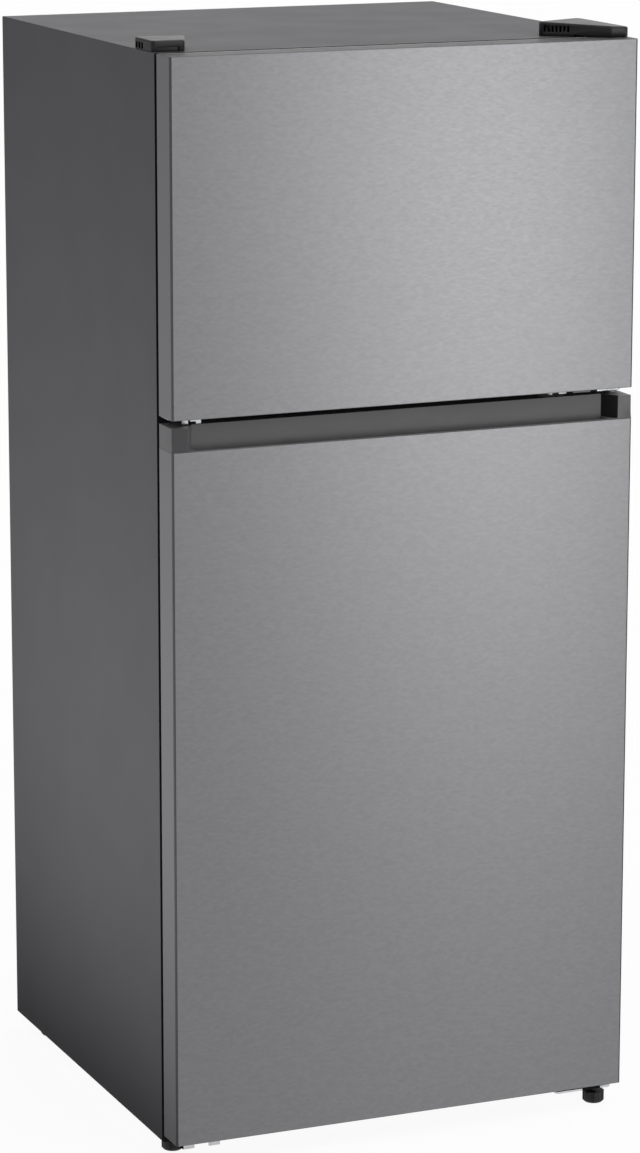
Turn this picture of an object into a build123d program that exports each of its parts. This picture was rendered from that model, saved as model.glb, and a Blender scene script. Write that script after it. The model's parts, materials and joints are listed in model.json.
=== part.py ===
from build123d import *
from dataclasses import dataclass
from math import cos, degrees, atan2, radians, sin, sqrt
import os

# Millimetres. The doors face -Y, +X is the hinge side and the floor is z = 0.

# Outside of the cabinet and the doors.
CASE_WIDTH = 750.0
CASE_DEPTH = 675.5
FLOOR_CLEARANCE = 26.0
DOOR_THICKNESS = 52.4
DOOR_GAP = 9.5
DOOR_SPLIT = 11.4
DOOR_BOTTOM_RISE = 11.2
FREEZER_DOOR_HEIGHT = 528.0
FRIDGE_DOOR_HEIGHT = 1102.0
DOOR_EDGE_RADIUS = 3.0

# Sheets, plates and moulded walls.
CASE_SHEET = 1.0
DOOR_SHEET = 0.8
LINER_WALL = 2.5
LINER_CORNER = 14.0
BRACKET_PLATE = 3.0
TRAY_WALL = 3.0
CAP_HEIGHT = 18.0

# Fits between pieces.
RUN_FIT = 0.06
LOOSE_FIT = 0.25
SLIDE_GAP = 0.5
SWING_CLEARANCE = 1.5

# Gaskets, and the steel faces that they close on.
GASKET_WIDTH = 20.0
GASKET_END_INSET = 6.0
FACE_MARGIN = 2.0

# Compartment walls, measured inwards from the steel faces or the case.
FRIDGE_LIP = 6.0
FREEZER_EXTRA_WALL = 14.0
FLOOR_LIP = 22.0
CEILING_LIP = 37.0
MULLION_LIP = 6.0
FRIDGE_REAR_WALL = 55.0
FREEZER_REAR_WALL = 62.0
MACHINE_HEIGHT = 245.0
MACHINE_DEPTH = 230.0
STEP_WALL = 45.0

# Hinges.
HINGE_BACK_INSET = 15.0
PIN_RADIUS = 4.0
PIN_REACH = 12.0
BUSH_RADIUS = 7.0
BUSH_LENGTH = 14.0
TOP_FOOT_WIDTH = 66.0
TOP_FOOT_DEPTH = 62.0
TOP_FOOT_SETBACK = 14.0
HINGE_ARM_WIDTH = 24.0
HINGE_NOSE = 7.0
MIDDLE_FLANGE_WIDTH = 90.0
MIDDLE_FLANGE_SHEET = 2.5
MIDDLE_FLANGE_MARGIN = 1.0
BOTTOM_PLATE_WIDTH = 96.0
BOTTOM_PLATE_TUCK = 60.0
BRACKET_EDGE = 3.0
BRACKET_CORNER = 6.0

# Covers on the cabinet top.
HINGE_COVER_LENGTH = 121.5
HINGE_COVER_NOSE = 27.0
HINGE_COVER_NOSE_WIDTH = 32.0
HINGE_COVER_TIP_SETBACK = 97.0
HINGE_COVER_REAR = 200.0
HINGE_COVER_HIGH = 22.0
HINGE_COVER_LOW = 15.5
BLANK_COVER_WIDTH = 50.0
BLANK_COVER_REAR_WIDTH = 80.0
BLANK_COVER_DEPTH = 76.0
BLANK_COVER_SETBACK = 10.0
BLANK_COVER_HEIGHT = 17.0
BLANK_COVER_MOUTH = 7.0
COVER_WALL = 2.0
COVER_CORNER = 8.0
COVER_EDGE = 3.0
COVER_INSET = 1.0
COVER_LIFT = 3.0
COVER_SLOT_HEIGHT = 9.0
HINGE_COVER_SLOTS = 7
HINGE_COVER_SLOT = 3.0
HINGE_COVER_SLOT_PITCH = 6.0
HINGE_COVER_SLOT_START = 12.0
BLANK_COVER_SLOTS = 3
BLANK_COVER_SLOT = 8.0
BLANK_COVER_SLOT_PITCH = 11.0

# Handle trim along the top of the fridge door.
TRIM_HEIGHT = 36.0
TRIM_END = 24.0
TRIM_LIP = 3.0
TRIM_LIP_DEPTH = 5.0
RECESS_DEPTH = 26.0
RECESS_SILL = 1.0
RECESS_END_SLOPE = 16.0
POCKET_DEPTH = 18.0
POCKET_WALL = 3.0
GRIP_HALF_WIDTH = 300.0
GRIP_SETBACK = 8.0
GRIP_DEPTH = 18.0
GRIP_HEIGHT = 12.0

# Door stop plates under the freezer door.
STOP_WIDTH = 58.0
STOP_DEPTH = 30.0
STOP_SHEET = 2.0
STOP_TABS = ((24.0, 10.0, 8.0), (37.0, 9.0, 4.5), (46.0, 8.5, 8.0))

# Inner doors and their bins.
DYKE_CLEARANCE = 16.0
DYKE_WIDTH = 26.0
DYKE_DEPTH = 40.0
DYKE_EDGE = 5.0
LUG_REACH = 8.0
LUG_HEIGHT = 10.0
LUG_SETBACK = 8.0
BIN_SIDE_GAP = 1.5
BIN_HEIGHT = 85.0
BIN_CORNER = 8.0
BIN_RISE = 12.0
FREEZER_BIN_DEPTH = 75.0
FRIDGE_BIN_DEPTH = 110.0
FREEZER_BIN_COUNT = 2
FRIDGE_BIN_COUNT = 3
BIN_CLEARANCE = 18.0

# Shelves.
RIB_DEPTH = 10.0
RIB_HEIGHT = 8.0
SHELF_COUNT = 2
SHELF_GLASS = 4.0
SHELF_SIDE_GAP = 3.0
SHELF_REAR_GAP = 15.0
SHELF_TRIM_DEPTH = 16.0
SHELF_TRIM_HEIGHT = 12.0
SHELF_GRIP = 8.0
WIRE_SHELF_COUNT = 21
WIRE_RADIUS = 2.0
FRAME_WIRE_RADIUS = 3.5

# Crisper drawers.
CRISPER_GAP = 6.0
CRISPER_HEADROOM = 14.0
CRISPER_LIP = 12.0
CRISPER_LIP_HEIGHT = 16.0

# Control housing under the fridge ceiling.
HOUSING_WIDTH = 260.0
HOUSING_DEPTH = 170.0
HOUSING_HEIGHT = 45.0
HOUSING_SETBACK = 45.0
HOUSING_CORNER = 8.0
LENS_WIDTH = 90.0
LENS_DEPTH = 110.0
LENS_THICKNESS = 14.0
LENS_OFFSET = 60.0
DIAL_OFFSET = 65.0
DIAL_RADIUS = 21.0
DIAL_HEIGHT = 13.0
DIAL_SHAFT = 4.0
DIAL_SHAFT_LENGTH = 12.0
DIAL_GRIP_WIDTH = 8.0
DIAL_GRIP_HEIGHT = 6.0
BUTTON_RADIUS = 5.0
BUTTON_OFFSET = 100.0
BUTTON_DROP = 30.0
BUTTON_ROOT = 24.0

# Cold-air chamber behind the freezer's rear cover.
CHAMBER_DEPTH = 75.0
CHAMBER_SHEET = 2.5
CHAMBER_SIDE_GAP = 1.0
RETURN_GAP = 20.0
GRILLE_SLOTS = 6
GRILLE_SLOT_LENGTH = 120.0
GRILLE_SLOT_HEIGHT = 9.0
GRILLE_PITCH = 17.0
FAN_DROP = 85.0
FAN_RADIUS = 55.0
FAN_GAP = 8.0
COIL_LOW = 45.0
COIL_PASSES = 7
COIL_PITCH = 28.0
COIL_TUBE = 4.0
COIL_SETBACK = 34.0
FIN_COUNT = 15
FIN_SHEET = 0.8
FIN_DEPTH = 40.0
FIN_MARGIN = 14.0
BEND_SHARE = 0.45

# Fans and their motors.
FAN_BLADES = 5
FAN_DEPTH = 16.0
FAN_HUB_SHARE = 0.28
FAN_PITCH = 30.0
FAN_BLADE_SHEET = 2.0
FAN_CHORD_SHARE = 0.5
MOTOR_SHAFT = 2.5
MOTOR_GAP = 3.0
MOTOR_RADIUS = 22.0
MOTOR_LENGTH = 34.0
MOTOR_FOOT = 16.0

# Machine room at the bottom rear.
MACHINE_FLOOR = 48.0
MACHINE_FLOOR_SHEET = 2.0
COVER_FLANGE = 18.0
COMPRESSOR_X = 195.0
COMPRESSOR_LONG = 105.0
COMPRESSOR_SHORT = 75.0
COMPRESSOR_HEIGHT = 160.0
COMPRESSOR_DOME = 45.0
COMPRESSOR_SEAM = 4.0
COMPRESSOR_SEAM_HEIGHT = 6.0
COMPRESSOR_PLATE = 3.0
COMPRESSOR_SETBACK = 118.0
GROMMET_SPREAD_X = 85.0
GROMMET_SPREAD_Y = 62.0
GROMMET_EDGE = 16.0
GROMMET_RADIUS = 12.0
GROMMET_NECK = 7.0
GROMMET_HEIGHT = 12.0
GROMMET_CAP = 4.0
TERMINAL_WIDTH = 34.0
TERMINAL_SIZE = 64.0
CONDENSER_NEAR = -110.0
CONDENSER_FAR = -325.0
CONDENSER_LAYERS = 4
CONDENSER_PASSES = 5
CONDENSER_PITCH = 30.0
CONDENSER_LAYER_PITCH = 40.0
CONDENSER_TUBE = 3.0
CONDENSER_RISE = 50.0
CONDENSER_SETBACK = 207.0
DRIER_RADIUS = 9.0
DRIER_LENGTH = 70.0
MACHINE_FAN_X = 8.0
MACHINE_FAN_RADIUS = 72.0
MACHINE_FAN_RISE = 98.0
SUCTION_TUBE = 4.0
SUCTION_SETBACK = 26.0
SUCTION_BEND = 10.0
SUCTION_RISE = 55.0
PAN_HEIGHT = 28.0
PAN_MARGIN = 8.0

# Rear cover of the machine room.
REAR_COVER_SHEET = 2.0
REAR_COVER_GAP = 2.0
REAR_SLOT_ROWS = 2
REAR_SLOT_COUNT = 15
REAR_SLOT_WIDTH = 7.0
REAR_SLOT_HEIGHT = 62.0
REAR_SLOT_PITCH = 40.0
REAR_SLOT_ROW_PITCH = 88.0
GLAND_RADIUS = 8.0
GLAND_FLANGE = 13.0
GLAND_BORE = 4.0
GLAND_DEPTH = 10.0
GLAND_INSET = 60.0
GLAND_RISE = 20.0

# Feet and rollers.
FOOT_RADIUS = 17.0
FOOT_HEIGHT = 18.0
FOOT_TAPER = 3.0
FOOT_STUD = 4.0
FOOT_INSET = 29.0
RIGHT_FOOT_SETBACK = 35.5
LEFT_FOOT_SETBACK = 93.0
RIGHT_STUD_RISE = 5.0
FOOT_GROOVES = 6
FOOT_GROOVE = 2.0
TAB_INSETS = (35.0, 77.0)
TAB_WIDTH = 18.0
TAB_DROP = 19.0
ROLLER_RADIUS = 22.0
ROLLER_WIDTH = 18.0
ROLLER_INSET = 31.0
ROLLER_REAR = 64.0
ROLLER_SIDE_GAP = 1.0
ROLLER_CHEEK = 2.0
ROLLER_CHEEK_HALF = 13.0
AXLE_RADIUS = 4.0
AXLE_EDGE = 10.0

# Screws.
SCREW_RADIUS = 2.5
SCREW_HEAD = 5.0
SCREW_HEAD_HEIGHT = 2.6
SCREW_EDGE = 12.0

# Depths, from the door fronts to the case back.
OVERALL_DEPTH = DOOR_THICKNESS + DOOR_GAP + CASE_DEPTH
Y_FRONT = -OVERALL_DEPTH / 2
Y_DOOR_BACK = Y_FRONT + DOOR_THICKNESS
Y_CASE = Y_DOOR_BACK + DOOR_GAP
Y_BACK = Y_CASE + CASE_DEPTH
Y_REAR_COVER = Y_BACK - SCREW_HEAD_HEIGHT
Y_MACHINE = Y_BACK - MACHINE_DEPTH
Y_FREEZER_BACK = Y_BACK - FREEZER_REAR_WALL
Y_FRIDGE_BACK = Y_BACK - FRIDGE_REAR_WALL
Y_STEP = Y_MACHINE - STEP_WALL
Y_DYKE = Y_DOOR_BACK + DYKE_DEPTH
Y_CHAMBER = Y_FREEZER_BACK - CHAMBER_DEPTH

# Heights, from the floor to the case top.
Z_CASE = FLOOR_CLEARANCE
Z_FRIDGE_DOOR = Z_CASE + DOOR_BOTTOM_RISE
Z_FRIDGE_TOP = Z_FRIDGE_DOOR + FRIDGE_DOOR_HEIGHT
Z_TRIM = Z_FRIDGE_TOP - TRIM_HEIGHT
Z_FREEZER_DOOR = Z_FRIDGE_TOP + DOOR_SPLIT
Z_TOP = Z_FREEZER_DOOR + FREEZER_DOOR_HEIGHT
Z_SPLIT = (Z_FRIDGE_TOP + Z_FREEZER_DOOR) / 2
END_FACE = GASKET_END_INSET + GASKET_WIDTH + FACE_MARGIN
Z_SILL = Z_FRIDGE_DOOR + END_FACE
Z_RAIL_LOW = Z_FRIDGE_TOP - END_FACE
Z_RAIL_HIGH = Z_FREEZER_DOOR + END_FACE
Z_HEADER = Z_TOP - END_FACE
Z_FRIDGE_FLOOR = Z_SILL + FLOOR_LIP
Z_FRIDGE_CEILING = Z_RAIL_LOW - MULLION_LIP
Z_FREEZER_FLOOR = Z_RAIL_HIGH + MULLION_LIP
Z_FREEZER_CEILING = Z_HEADER - CEILING_LIP
Z_MACHINE_TOP = Z_CASE + MACHINE_HEIGHT
Z_STEP = Z_MACHINE_TOP + STEP_WALL
Z_MACHINE_FLOOR = MACHINE_FLOOR + MACHINE_FLOOR_SHEET

# Widths from the middle. The pin stands where the door's back corner swings past the case.
HALF = CASE_WIDTH / 2
SWING_GAP = DOOR_GAP - SWING_CLEARANCE
HINGE_SIDE = sqrt(2 * HINGE_BACK_INSET * SWING_GAP + SWING_GAP**2)
HINGE_X = HALF - HINGE_SIDE
HINGE_Y = Y_DOOR_BACK - HINGE_BACK_INSET
GASKET_HALF = HINGE_X
FACE_HALF = GASKET_HALF - GASKET_WIDTH - FACE_MARGIN
FRIDGE_HALF = FACE_HALF - FRIDGE_LIP
FREEZER_HALF = FRIDGE_HALF - FREEZER_EXTRA_WALL
INNER_HALF = HALF - CASE_SHEET

# Shelf places.
Y_SHELF = Y_DOOR_BACK + FRIDGE_BIN_DEPTH + BIN_CLEARANCE
Y_FREEZER_SHELF = Y_DOOR_BACK + FREEZER_BIN_DEPTH + BIN_CLEARANCE
Z_COVER_SHELF = Z_STEP + LINER_CORNER + RIB_HEIGHT
SHELF_SPACING = (Z_FRIDGE_CEILING - HOUSING_HEIGHT - Z_COVER_SHELF) / (SHELF_COUNT + 1)
SHELF_LEVELS = [Z_COVER_SHELF + SHELF_SPACING * number for number in range(SHELF_COUNT + 1)]
Z_FREEZER_SHELF = (Z_FREEZER_FLOOR + Z_FREEZER_CEILING) / 2

# Machine places.
COMPRESSOR_Y = Y_BACK - COMPRESSOR_SETBACK
Z_COMPRESSOR = Z_MACHINE_FLOOR + GROMMET_HEIGHT
Y_CONDENSER = Y_BACK - CONDENSER_SETBACK
Z_CONDENSER = Z_MACHINE_FLOOR + CONDENSER_RISE
Y_SUCTION = Y_BACK - SUCTION_SETBACK
Z_SUCTION = Z_COMPRESSOR + SUCTION_RISE
Z_COIL = Z_FREEZER_FLOOR + COIL_LOW
Y_COIL = Y_FREEZER_BACK - COIL_SETBACK
Y_FAN = Y_CHAMBER + CHAMBER_SHEET + FAN_GAP
Z_FAN = Z_FREEZER_CEILING - FAN_DROP


@dataclass(frozen=True)
class DoorPlan:
    """Heights and compartment of one door."""

    low: float
    high: float
    skin_high: float
    liner_high: float
    foam_low: float
    foam_high: float
    cavity_half: float
    dyke_low: float
    dyke_high: float
    bin_depth: float
    bin_low: float
    bin_count: int

    @property
    def dyke_half(self):
        return self.cavity_half - DYKE_CLEARANCE

    @property
    def bin_half(self):
        return self.dyke_half - DYKE_WIDTH

    @property
    def bin_levels(self):
        pitch = (self.dyke_high - DYKE_WIDTH - self.bin_low) / self.bin_count
        return [self.bin_low + pitch * number for number in range(self.bin_count)]


FREEZER_DOOR = DoorPlan(
    low=Z_FREEZER_DOOR,
    high=Z_TOP,
    skin_high=Z_TOP,
    liner_high=Z_TOP,
    foam_low=Z_FREEZER_DOOR + CAP_HEIGHT,
    foam_high=Z_TOP - CAP_HEIGHT,
    cavity_half=FREEZER_HALF,
    dyke_low=Z_FREEZER_FLOOR + DYKE_CLEARANCE,
    dyke_high=Z_FREEZER_CEILING - DYKE_CLEARANCE,
    bin_depth=FREEZER_BIN_DEPTH,
    bin_low=Z_FREEZER_FLOOR + DYKE_CLEARANCE + DYKE_WIDTH + BIN_RISE,
    bin_count=FREEZER_BIN_COUNT,
)
FRIDGE_DOOR = DoorPlan(
    low=Z_FRIDGE_DOOR,
    high=Z_FRIDGE_TOP,
    skin_high=Z_TRIM,
    liner_high=Z_FRIDGE_TOP - TRIM_LIP,
    foam_low=Z_FRIDGE_DOOR + CAP_HEIGHT,
    foam_high=Z_TRIM,
    cavity_half=FRIDGE_HALF,
    dyke_low=Z_FRIDGE_FLOOR + DYKE_CLEARANCE,
    dyke_high=Z_FRIDGE_CEILING - DYKE_CLEARANCE,
    bin_depth=FRIDGE_BIN_DEPTH,
    bin_low=Z_COVER_SHELF + SHELF_GLASS + BIN_RISE,
    bin_count=FRIDGE_BIN_COUNT,
)


@dataclass(frozen=True)
class Screw:
    """A pan-head screw: the point under its head, the way it drives, and what it clamps."""

    seat: tuple
    drive: tuple
    grip: float

    def along(self, distance):
        return tuple(s + d * distance for s, d in zip(self.seat, self.drive))

    def solid(self):
        head = rod(SCREW_HEAD, self.along(-SCREW_HEAD_HEIGHT), self.seat)
        return head + rod(SCREW_RADIUS, self.seat, self.along(self.grip))

    def hole(self):
        return rod(SCREW_RADIUS + LOOSE_FIT, self.seat, self.along(self.grip))


def block(x, y, z):
    """A box between the low and high of each pair."""
    middle = [(low + high) / 2 for low, high in (x, y, z)]
    lengths = [high - low for low, high in (x, y, z)]
    return Pos(*middle) * Box(*lengths)


def rod(radius, start, end):
    """A round bar between two points."""
    run = Vector(*end) - Vector(*start)
    bar = Cylinder(radius, run.length, align=(Align.CENTER, Align.CENTER, Align.MIN))
    return Plane(origin=start, z_dir=run) * bar


def rounded(shape, axis, radius):
    """The shape with its edges along one axis rounded."""
    return fillet(shape.edges().filter_by(axis), radius)


def frame(half, z, width, y):
    """A rectangular ring round the Y axis."""
    inner = block((width - half, half - width), y, (z[0] + width, z[1] - width))
    return block((-half, half), y, z) - inner


def tube(radius, bend, points):
    """A round tube through the points, bent at each corner."""
    path = FilletPolyline(*points, radius=bend)
    section = Plane(origin=path @ 0, z_dir=path % 0) * Circle(radius)
    return sweep(section, path=path)


def zigzag(near, far, rows):
    """Corners of a serpentine whose passes run along X, one for each (y, z)."""
    points = []
    for number, (y, z) in enumerate(rows):
        start, end = (near, far) if number % 2 == 0 else (far, near)
        points += [(start, y, z), (end, y, z)]
    return points


def upright(points, low, height):
    """A prism standing on a plan outline."""
    outline = make_face(Polyline(*[(x, y, low) for x, y in points], close=True))
    return extrude(outline, amount=height, dir=(0, 0, 1))


# Screw places.
TOP_FOOT_X = (HINGE_X + HINGE_ARM_WIDTH / 2 - TOP_FOOT_WIDTH, HINGE_X + HINGE_ARM_WIDTH / 2)
TOP_FOOT_Y = (Y_CASE + TOP_FOOT_SETBACK, Y_CASE + TOP_FOOT_SETBACK + TOP_FOOT_DEPTH)
MIDDLE_FLANGE_X = (FACE_HALF - MIDDLE_FLANGE_WIDTH, FACE_HALF)
BOTTOM_PLATE_X = (HALF - BRACKET_EDGE - BOTTOM_PLATE_WIDTH, HALF - BRACKET_EDGE)
BRACKET_GRIP = BRACKET_PLATE + CASE_SHEET
TOP_SCREWS = [
    Screw((x, y, Z_TOP + BRACKET_PLATE), (0, 0, -1), BRACKET_GRIP)
    for x, y in (
        (TOP_FOOT_X[0] + SCREW_EDGE, TOP_FOOT_Y[0] + SCREW_EDGE),
        (TOP_FOOT_X[0] + SCREW_EDGE, TOP_FOOT_Y[1] - SCREW_EDGE),
        (TOP_FOOT_X[1] - SCREW_EDGE, TOP_FOOT_Y[1] - SCREW_EDGE),
    )
]
MIDDLE_SCREWS = [
    Screw((x, Y_CASE - MIDDLE_FLANGE_SHEET, Z_SPLIT), (0, 1, 0), MIDDLE_FLANGE_SHEET + CASE_SHEET)
    for x in (MIDDLE_FLANGE_X[0] + SCREW_EDGE, MIDDLE_FLANGE_X[0] + 3 * SCREW_EDGE)
]
Y_BOTTOM_SCREWS = Y_CASE + BOTTOM_PLATE_TUCK - SCREW_EDGE
BOTTOM_SCREWS = [
    Screw((side * x, Y_BOTTOM_SCREWS, Z_CASE - BRACKET_PLATE), (0, 0, 1), BRACKET_GRIP)
    for side in (-1, 1)
    for x in (BOTTOM_PLATE_X[0] + SCREW_EDGE, BOTTOM_PLATE_X[1] - SCREW_EDGE)
]
COVER_SCREWS = [
    Screw((x, Y_REAR_COVER, z), (0, -1, 0), REAR_COVER_SHEET + CASE_SHEET)
    for x in (SCREW_EDGE * 2 - HALF, 0.0, HALF - SCREW_EDGE * 2)
    for z in (Z_MACHINE_FLOOR + COVER_FLANGE / 2, Z_MACHINE_TOP - COVER_FLANGE / 2)
]


# Cabinet shell.


def side_panel(side):
    """Painted side sheet with its front face turned inwards; side is -1 on the left."""
    inner = side * INNER_HALF
    outer = side * HALF
    sheet = block(sorted((inner, outer)), (Y_CASE, Y_BACK), (Z_CASE, Z_TOP))
    face_x = sorted((side * FACE_HALF, outer))
    return sheet + block(face_x, (Y_CASE, Y_CASE + CASE_SHEET), (Z_CASE, Z_TOP - CASE_SHEET))


def top_panel():
    sheet = block((-INNER_HALF, INNER_HALF), (Y_CASE, Y_BACK), (Z_TOP - CASE_SHEET, Z_TOP))
    face = block((-FACE_HALF, FACE_HALF), (Y_CASE, Y_CASE + CASE_SHEET), (Z_HEADER, Z_TOP))
    panel = sheet + face
    for screw in TOP_SCREWS:
        panel -= screw.hole()
    return panel


def rear_panel():
    z = (Z_MACHINE_TOP, Z_TOP - CASE_SHEET)
    return block((-INNER_HALF, INNER_HALF), (Y_BACK - CASE_SHEET, Y_BACK), z)


def base_panel():
    """One bent sheet: front sill, bottom, machine-room wall and machine-room roof."""
    across = (-INNER_HALF, INNER_HALF)
    sill = block((-FACE_HALF, FACE_HALF), (Y_CASE, Y_CASE + CASE_SHEET), (Z_CASE, Z_SILL))
    bottom = block(across, (Y_CASE + CASE_SHEET, Y_MACHINE), (Z_CASE, Z_CASE + CASE_SHEET))
    wall = block(across, (Y_MACHINE - CASE_SHEET, Y_MACHINE), (Z_CASE, Z_MACHINE_TOP))
    roof = block(across, (Y_MACHINE - CASE_SHEET, Y_BACK), (Z_MACHINE_TOP - CASE_SHEET, Z_MACHINE_TOP))
    flange_y = (Y_REAR_COVER - REAR_COVER_SHEET - CASE_SHEET, Y_REAR_COVER - REAR_COVER_SHEET)
    flange = block(across, flange_y, (Z_MACHINE_TOP - COVER_FLANGE, Z_MACHINE_TOP))
    panel = sill + bottom + wall + roof + flange
    for screw in BOTTOM_SCREWS + COVER_SCREWS:
        panel -= screw.hole()
    hole_ends = [(COMPRESSOR_X, Y_SUCTION, z) for z in (Z_MACHINE_TOP - COVER_FLANGE, Z_MACHINE_TOP)]
    return panel - rod(SUCTION_TUBE + LOOSE_FIT, *hole_ends)


def freezer_cavity(grow):
    """The freezer's inside, or its liner's outside when grown by the wall."""
    half = FREEZER_HALF + grow
    z = (Z_FREEZER_FLOOR - grow, Z_FREEZER_CEILING + grow)
    return rounded(block((-half, half), (Y_CASE, Y_FREEZER_BACK + grow), z), Axis.Y, LINER_CORNER + grow)


def fridge_cavity(grow):
    """The fridge's inside, stepped over the machine room, or its liner's outside when grown."""
    half = FRIDGE_HALF + grow
    top = Z_FRIDGE_CEILING + grow
    front = block((-half, half), (Y_CASE, Y_STEP + grow), (Z_FRIDGE_FLOOR - grow, top))
    upper = block((-half, half), (Y_CASE, Y_FRIDGE_BACK + grow), (Z_STEP - grow, top))
    return rounded(front, Axis.Y, LINER_CORNER + grow) + rounded(upper, Axis.Y, LINER_CORNER + grow)


def freezer_flange():
    return block((-FACE_HALF, FACE_HALF), (Y_CASE, Y_CASE + LINER_WALL), (Z_RAIL_HIGH, Z_HEADER))


def fridge_flange():
    return block((-FACE_HALF, FACE_HALF), (Y_CASE, Y_CASE + LINER_WALL), (Z_SILL, Z_RAIL_LOW))


def shelf_ribs(half, level, y):
    """A pair of ledges that carry one shelf."""
    z = (level - RIB_HEIGHT, level)
    left = block((-half - LINER_WALL / 2, RIB_DEPTH - half), y, z)
    return left + block((half - RIB_DEPTH, half + LINER_WALL / 2), y, z)


def suction_channel():
    return tube(SUCTION_TUBE + LOOSE_FIT, SUCTION_BEND, suction_points())


def freezer_liner():
    liner = freezer_cavity(LINER_WALL) + freezer_flange() - freezer_cavity(0)
    liner += shelf_ribs(FREEZER_HALF, Z_FREEZER_SHELF, (Y_FREEZER_SHELF, Y_CHAMBER))
    return liner - suction_channel()


def fridge_liner():
    liner = fridge_cavity(LINER_WALL) + fridge_flange() - fridge_cavity(0)
    for level in SHELF_LEVELS:
        liner += shelf_ribs(FRIDGE_HALF, level, (Y_SHELF, Y_FRIDGE_BACK))
    return liner


def insulation_foam():
    """Foam that fills the walls between the steel shell and the liners."""
    across = (-INNER_HALF, INNER_HALF)
    deep = (Y_CASE + CASE_SHEET, Y_BACK - CASE_SHEET)
    foam = block(across, deep, (Z_CASE + CASE_SHEET, Z_TOP - CASE_SHEET))
    foam -= block(across, (Y_MACHINE - CASE_SHEET, deep[1]), (Z_CASE + CASE_SHEET, Z_MACHINE_TOP))
    foam -= freezer_cavity(LINER_WALL) + freezer_flange()
    foam -= fridge_cavity(LINER_WALL) + fridge_flange()
    return foam - suction_channel()


def center_rail():
    """Steel face of the divider, where the middle hinge is screwed."""
    rail = block((-FACE_HALF, FACE_HALF), (Y_CASE, Y_CASE + CASE_SHEET), (Z_RAIL_LOW, Z_RAIL_HIGH))
    for screw in MIDDLE_SCREWS:
        rail -= screw.hole()
    return rail


# Hinges.


def pin_hole(low, high):
    return rod(PIN_RADIUS + LOOSE_FIT / 2, (HINGE_X, HINGE_Y, low), (HINGE_X, HINGE_Y, high))


def top_hinge_bracket():
    """Foot plate on the case top, with an arm stepped up over the door."""
    low, step, high = (Z_TOP + BRACKET_PLATE * number for number in range(3))
    foot = rounded(block(TOP_FOOT_X, TOP_FOOT_Y, (low, step)), Axis.Z, BRACKET_CORNER)
    arm_x = (HINGE_X - HINGE_ARM_WIDTH / 2, HINGE_X + HINGE_ARM_WIDTH / 2)
    arm_y = (HINGE_Y - HINGE_NOSE, TOP_FOOT_Y[0] + TOP_FOOT_DEPTH / 2)
    arm = rounded(block(arm_x, arm_y, (step, high)), Axis.Z, BRACKET_CORNER)
    bracket = foot + arm - pin_hole(step, high)
    for screw in TOP_SCREWS:
        bracket -= screw.hole()
    return bracket


def middle_hinge_bracket():
    """Angle on the divider: a flange between the gaskets and a slotted plate in the door split."""
    reach = GASKET_END_INSET - MIDDLE_FLANGE_MARGIN
    flange_z = (Z_FRIDGE_TOP - reach, Z_FREEZER_DOOR + reach)
    flange = block(MIDDLE_FLANGE_X, (Y_CASE - MIDDLE_FLANGE_SHEET, Y_CASE), flange_z)
    plate_x = (MIDDLE_FLANGE_X[0], HINGE_X + HINGE_ARM_WIDTH / 2)
    plate_z = (Z_SPLIT - BRACKET_PLATE / 2, Z_SPLIT + BRACKET_PLATE / 2)
    plate_y = (HINGE_Y - HINGE_ARM_WIDTH / 2, Y_CASE - MIDDLE_FLANGE_SHEET)
    plate = block(plate_x, plate_y, plate_z)
    front = plate.edges().filter_by(Axis.Z).group_by(Axis.Y)[0]
    plate = fillet(front, BRACKET_CORNER) - pin_hole(*plate_z)
    for screw in MIDDLE_SCREWS:
        access = SCREW_HEAD + SLIDE_GAP
        plate -= block((screw.seat[0] - access, screw.seat[0] + access), plate_y, plate_z)
        flange -= screw.hole()
    return flange + plate


def bottom_plate(front):
    """Plate screwed under the case at the right, out to the given front."""
    z = (Z_CASE - BRACKET_PLATE, Z_CASE)
    plate = rounded(block(BOTTOM_PLATE_X, (front, Y_CASE + BOTTOM_PLATE_TUCK), z), Axis.Z, BRACKET_CORNER)
    for screw in BOTTOM_SCREWS:
        plate -= screw.hole()
    return plate


def stud_hole(x, y):
    return rod(FOOT_STUD + RUN_FIT, (x, y, Z_CASE - BRACKET_PLATE), (x, y, Z_CASE))


def bottom_hinge_bracket():
    plate = bottom_plate(HINGE_Y - HINGE_ARM_WIDTH / 2)
    plate -= pin_hole(Z_CASE - BRACKET_PLATE, Z_CASE)
    return plate - stud_hole(HALF - FOOT_INSET, Y_FRONT + RIGHT_FOOT_SETBACK)


def left_foot_bracket():
    """Mirror of the hinge plate without the nose, with two tabs turned down at its front."""
    plate = mirror(bottom_plate(Y_CASE), about=Plane.YZ)
    for inset in TAB_INSETS:
        x = (inset - HALF, inset - HALF + TAB_WIDTH)
        plate += block(x, (Y_CASE, Y_CASE + BRACKET_PLATE), (Z_CASE - TAB_DROP, Z_CASE))
    return plate - stud_hole(FOOT_INSET - HALF, Y_FRONT + LEFT_FOOT_SETBACK)


def hinge_pins():
    """Three pins on one axis, riveted in the brackets."""
    spans = [
        (Z_TOP - PIN_REACH, Z_TOP + 2 * BRACKET_PLATE),
        (Z_FRIDGE_TOP - PIN_REACH, Z_FREEZER_DOOR + PIN_REACH),
        (Z_CASE - BRACKET_PLATE, Z_FRIDGE_DOOR + PIN_REACH),
    ]
    return [rod(PIN_RADIUS, (HINGE_X, HINGE_Y, low), (HINGE_X, HINGE_Y, high)) for low, high in spans]


def screws():
    return [screw.solid() for screw in TOP_SCREWS + MIDDLE_SCREWS + BOTTOM_SCREWS + COVER_SCREWS]


# Covers on the cabinet top.


def hollowed(body):
    """Makes a solid a hood: a top and walls, open below."""
    inside = offset(body, -COVER_WALL)
    return body - inside - Pos(0, 0, -COVER_WALL) * inside


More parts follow.
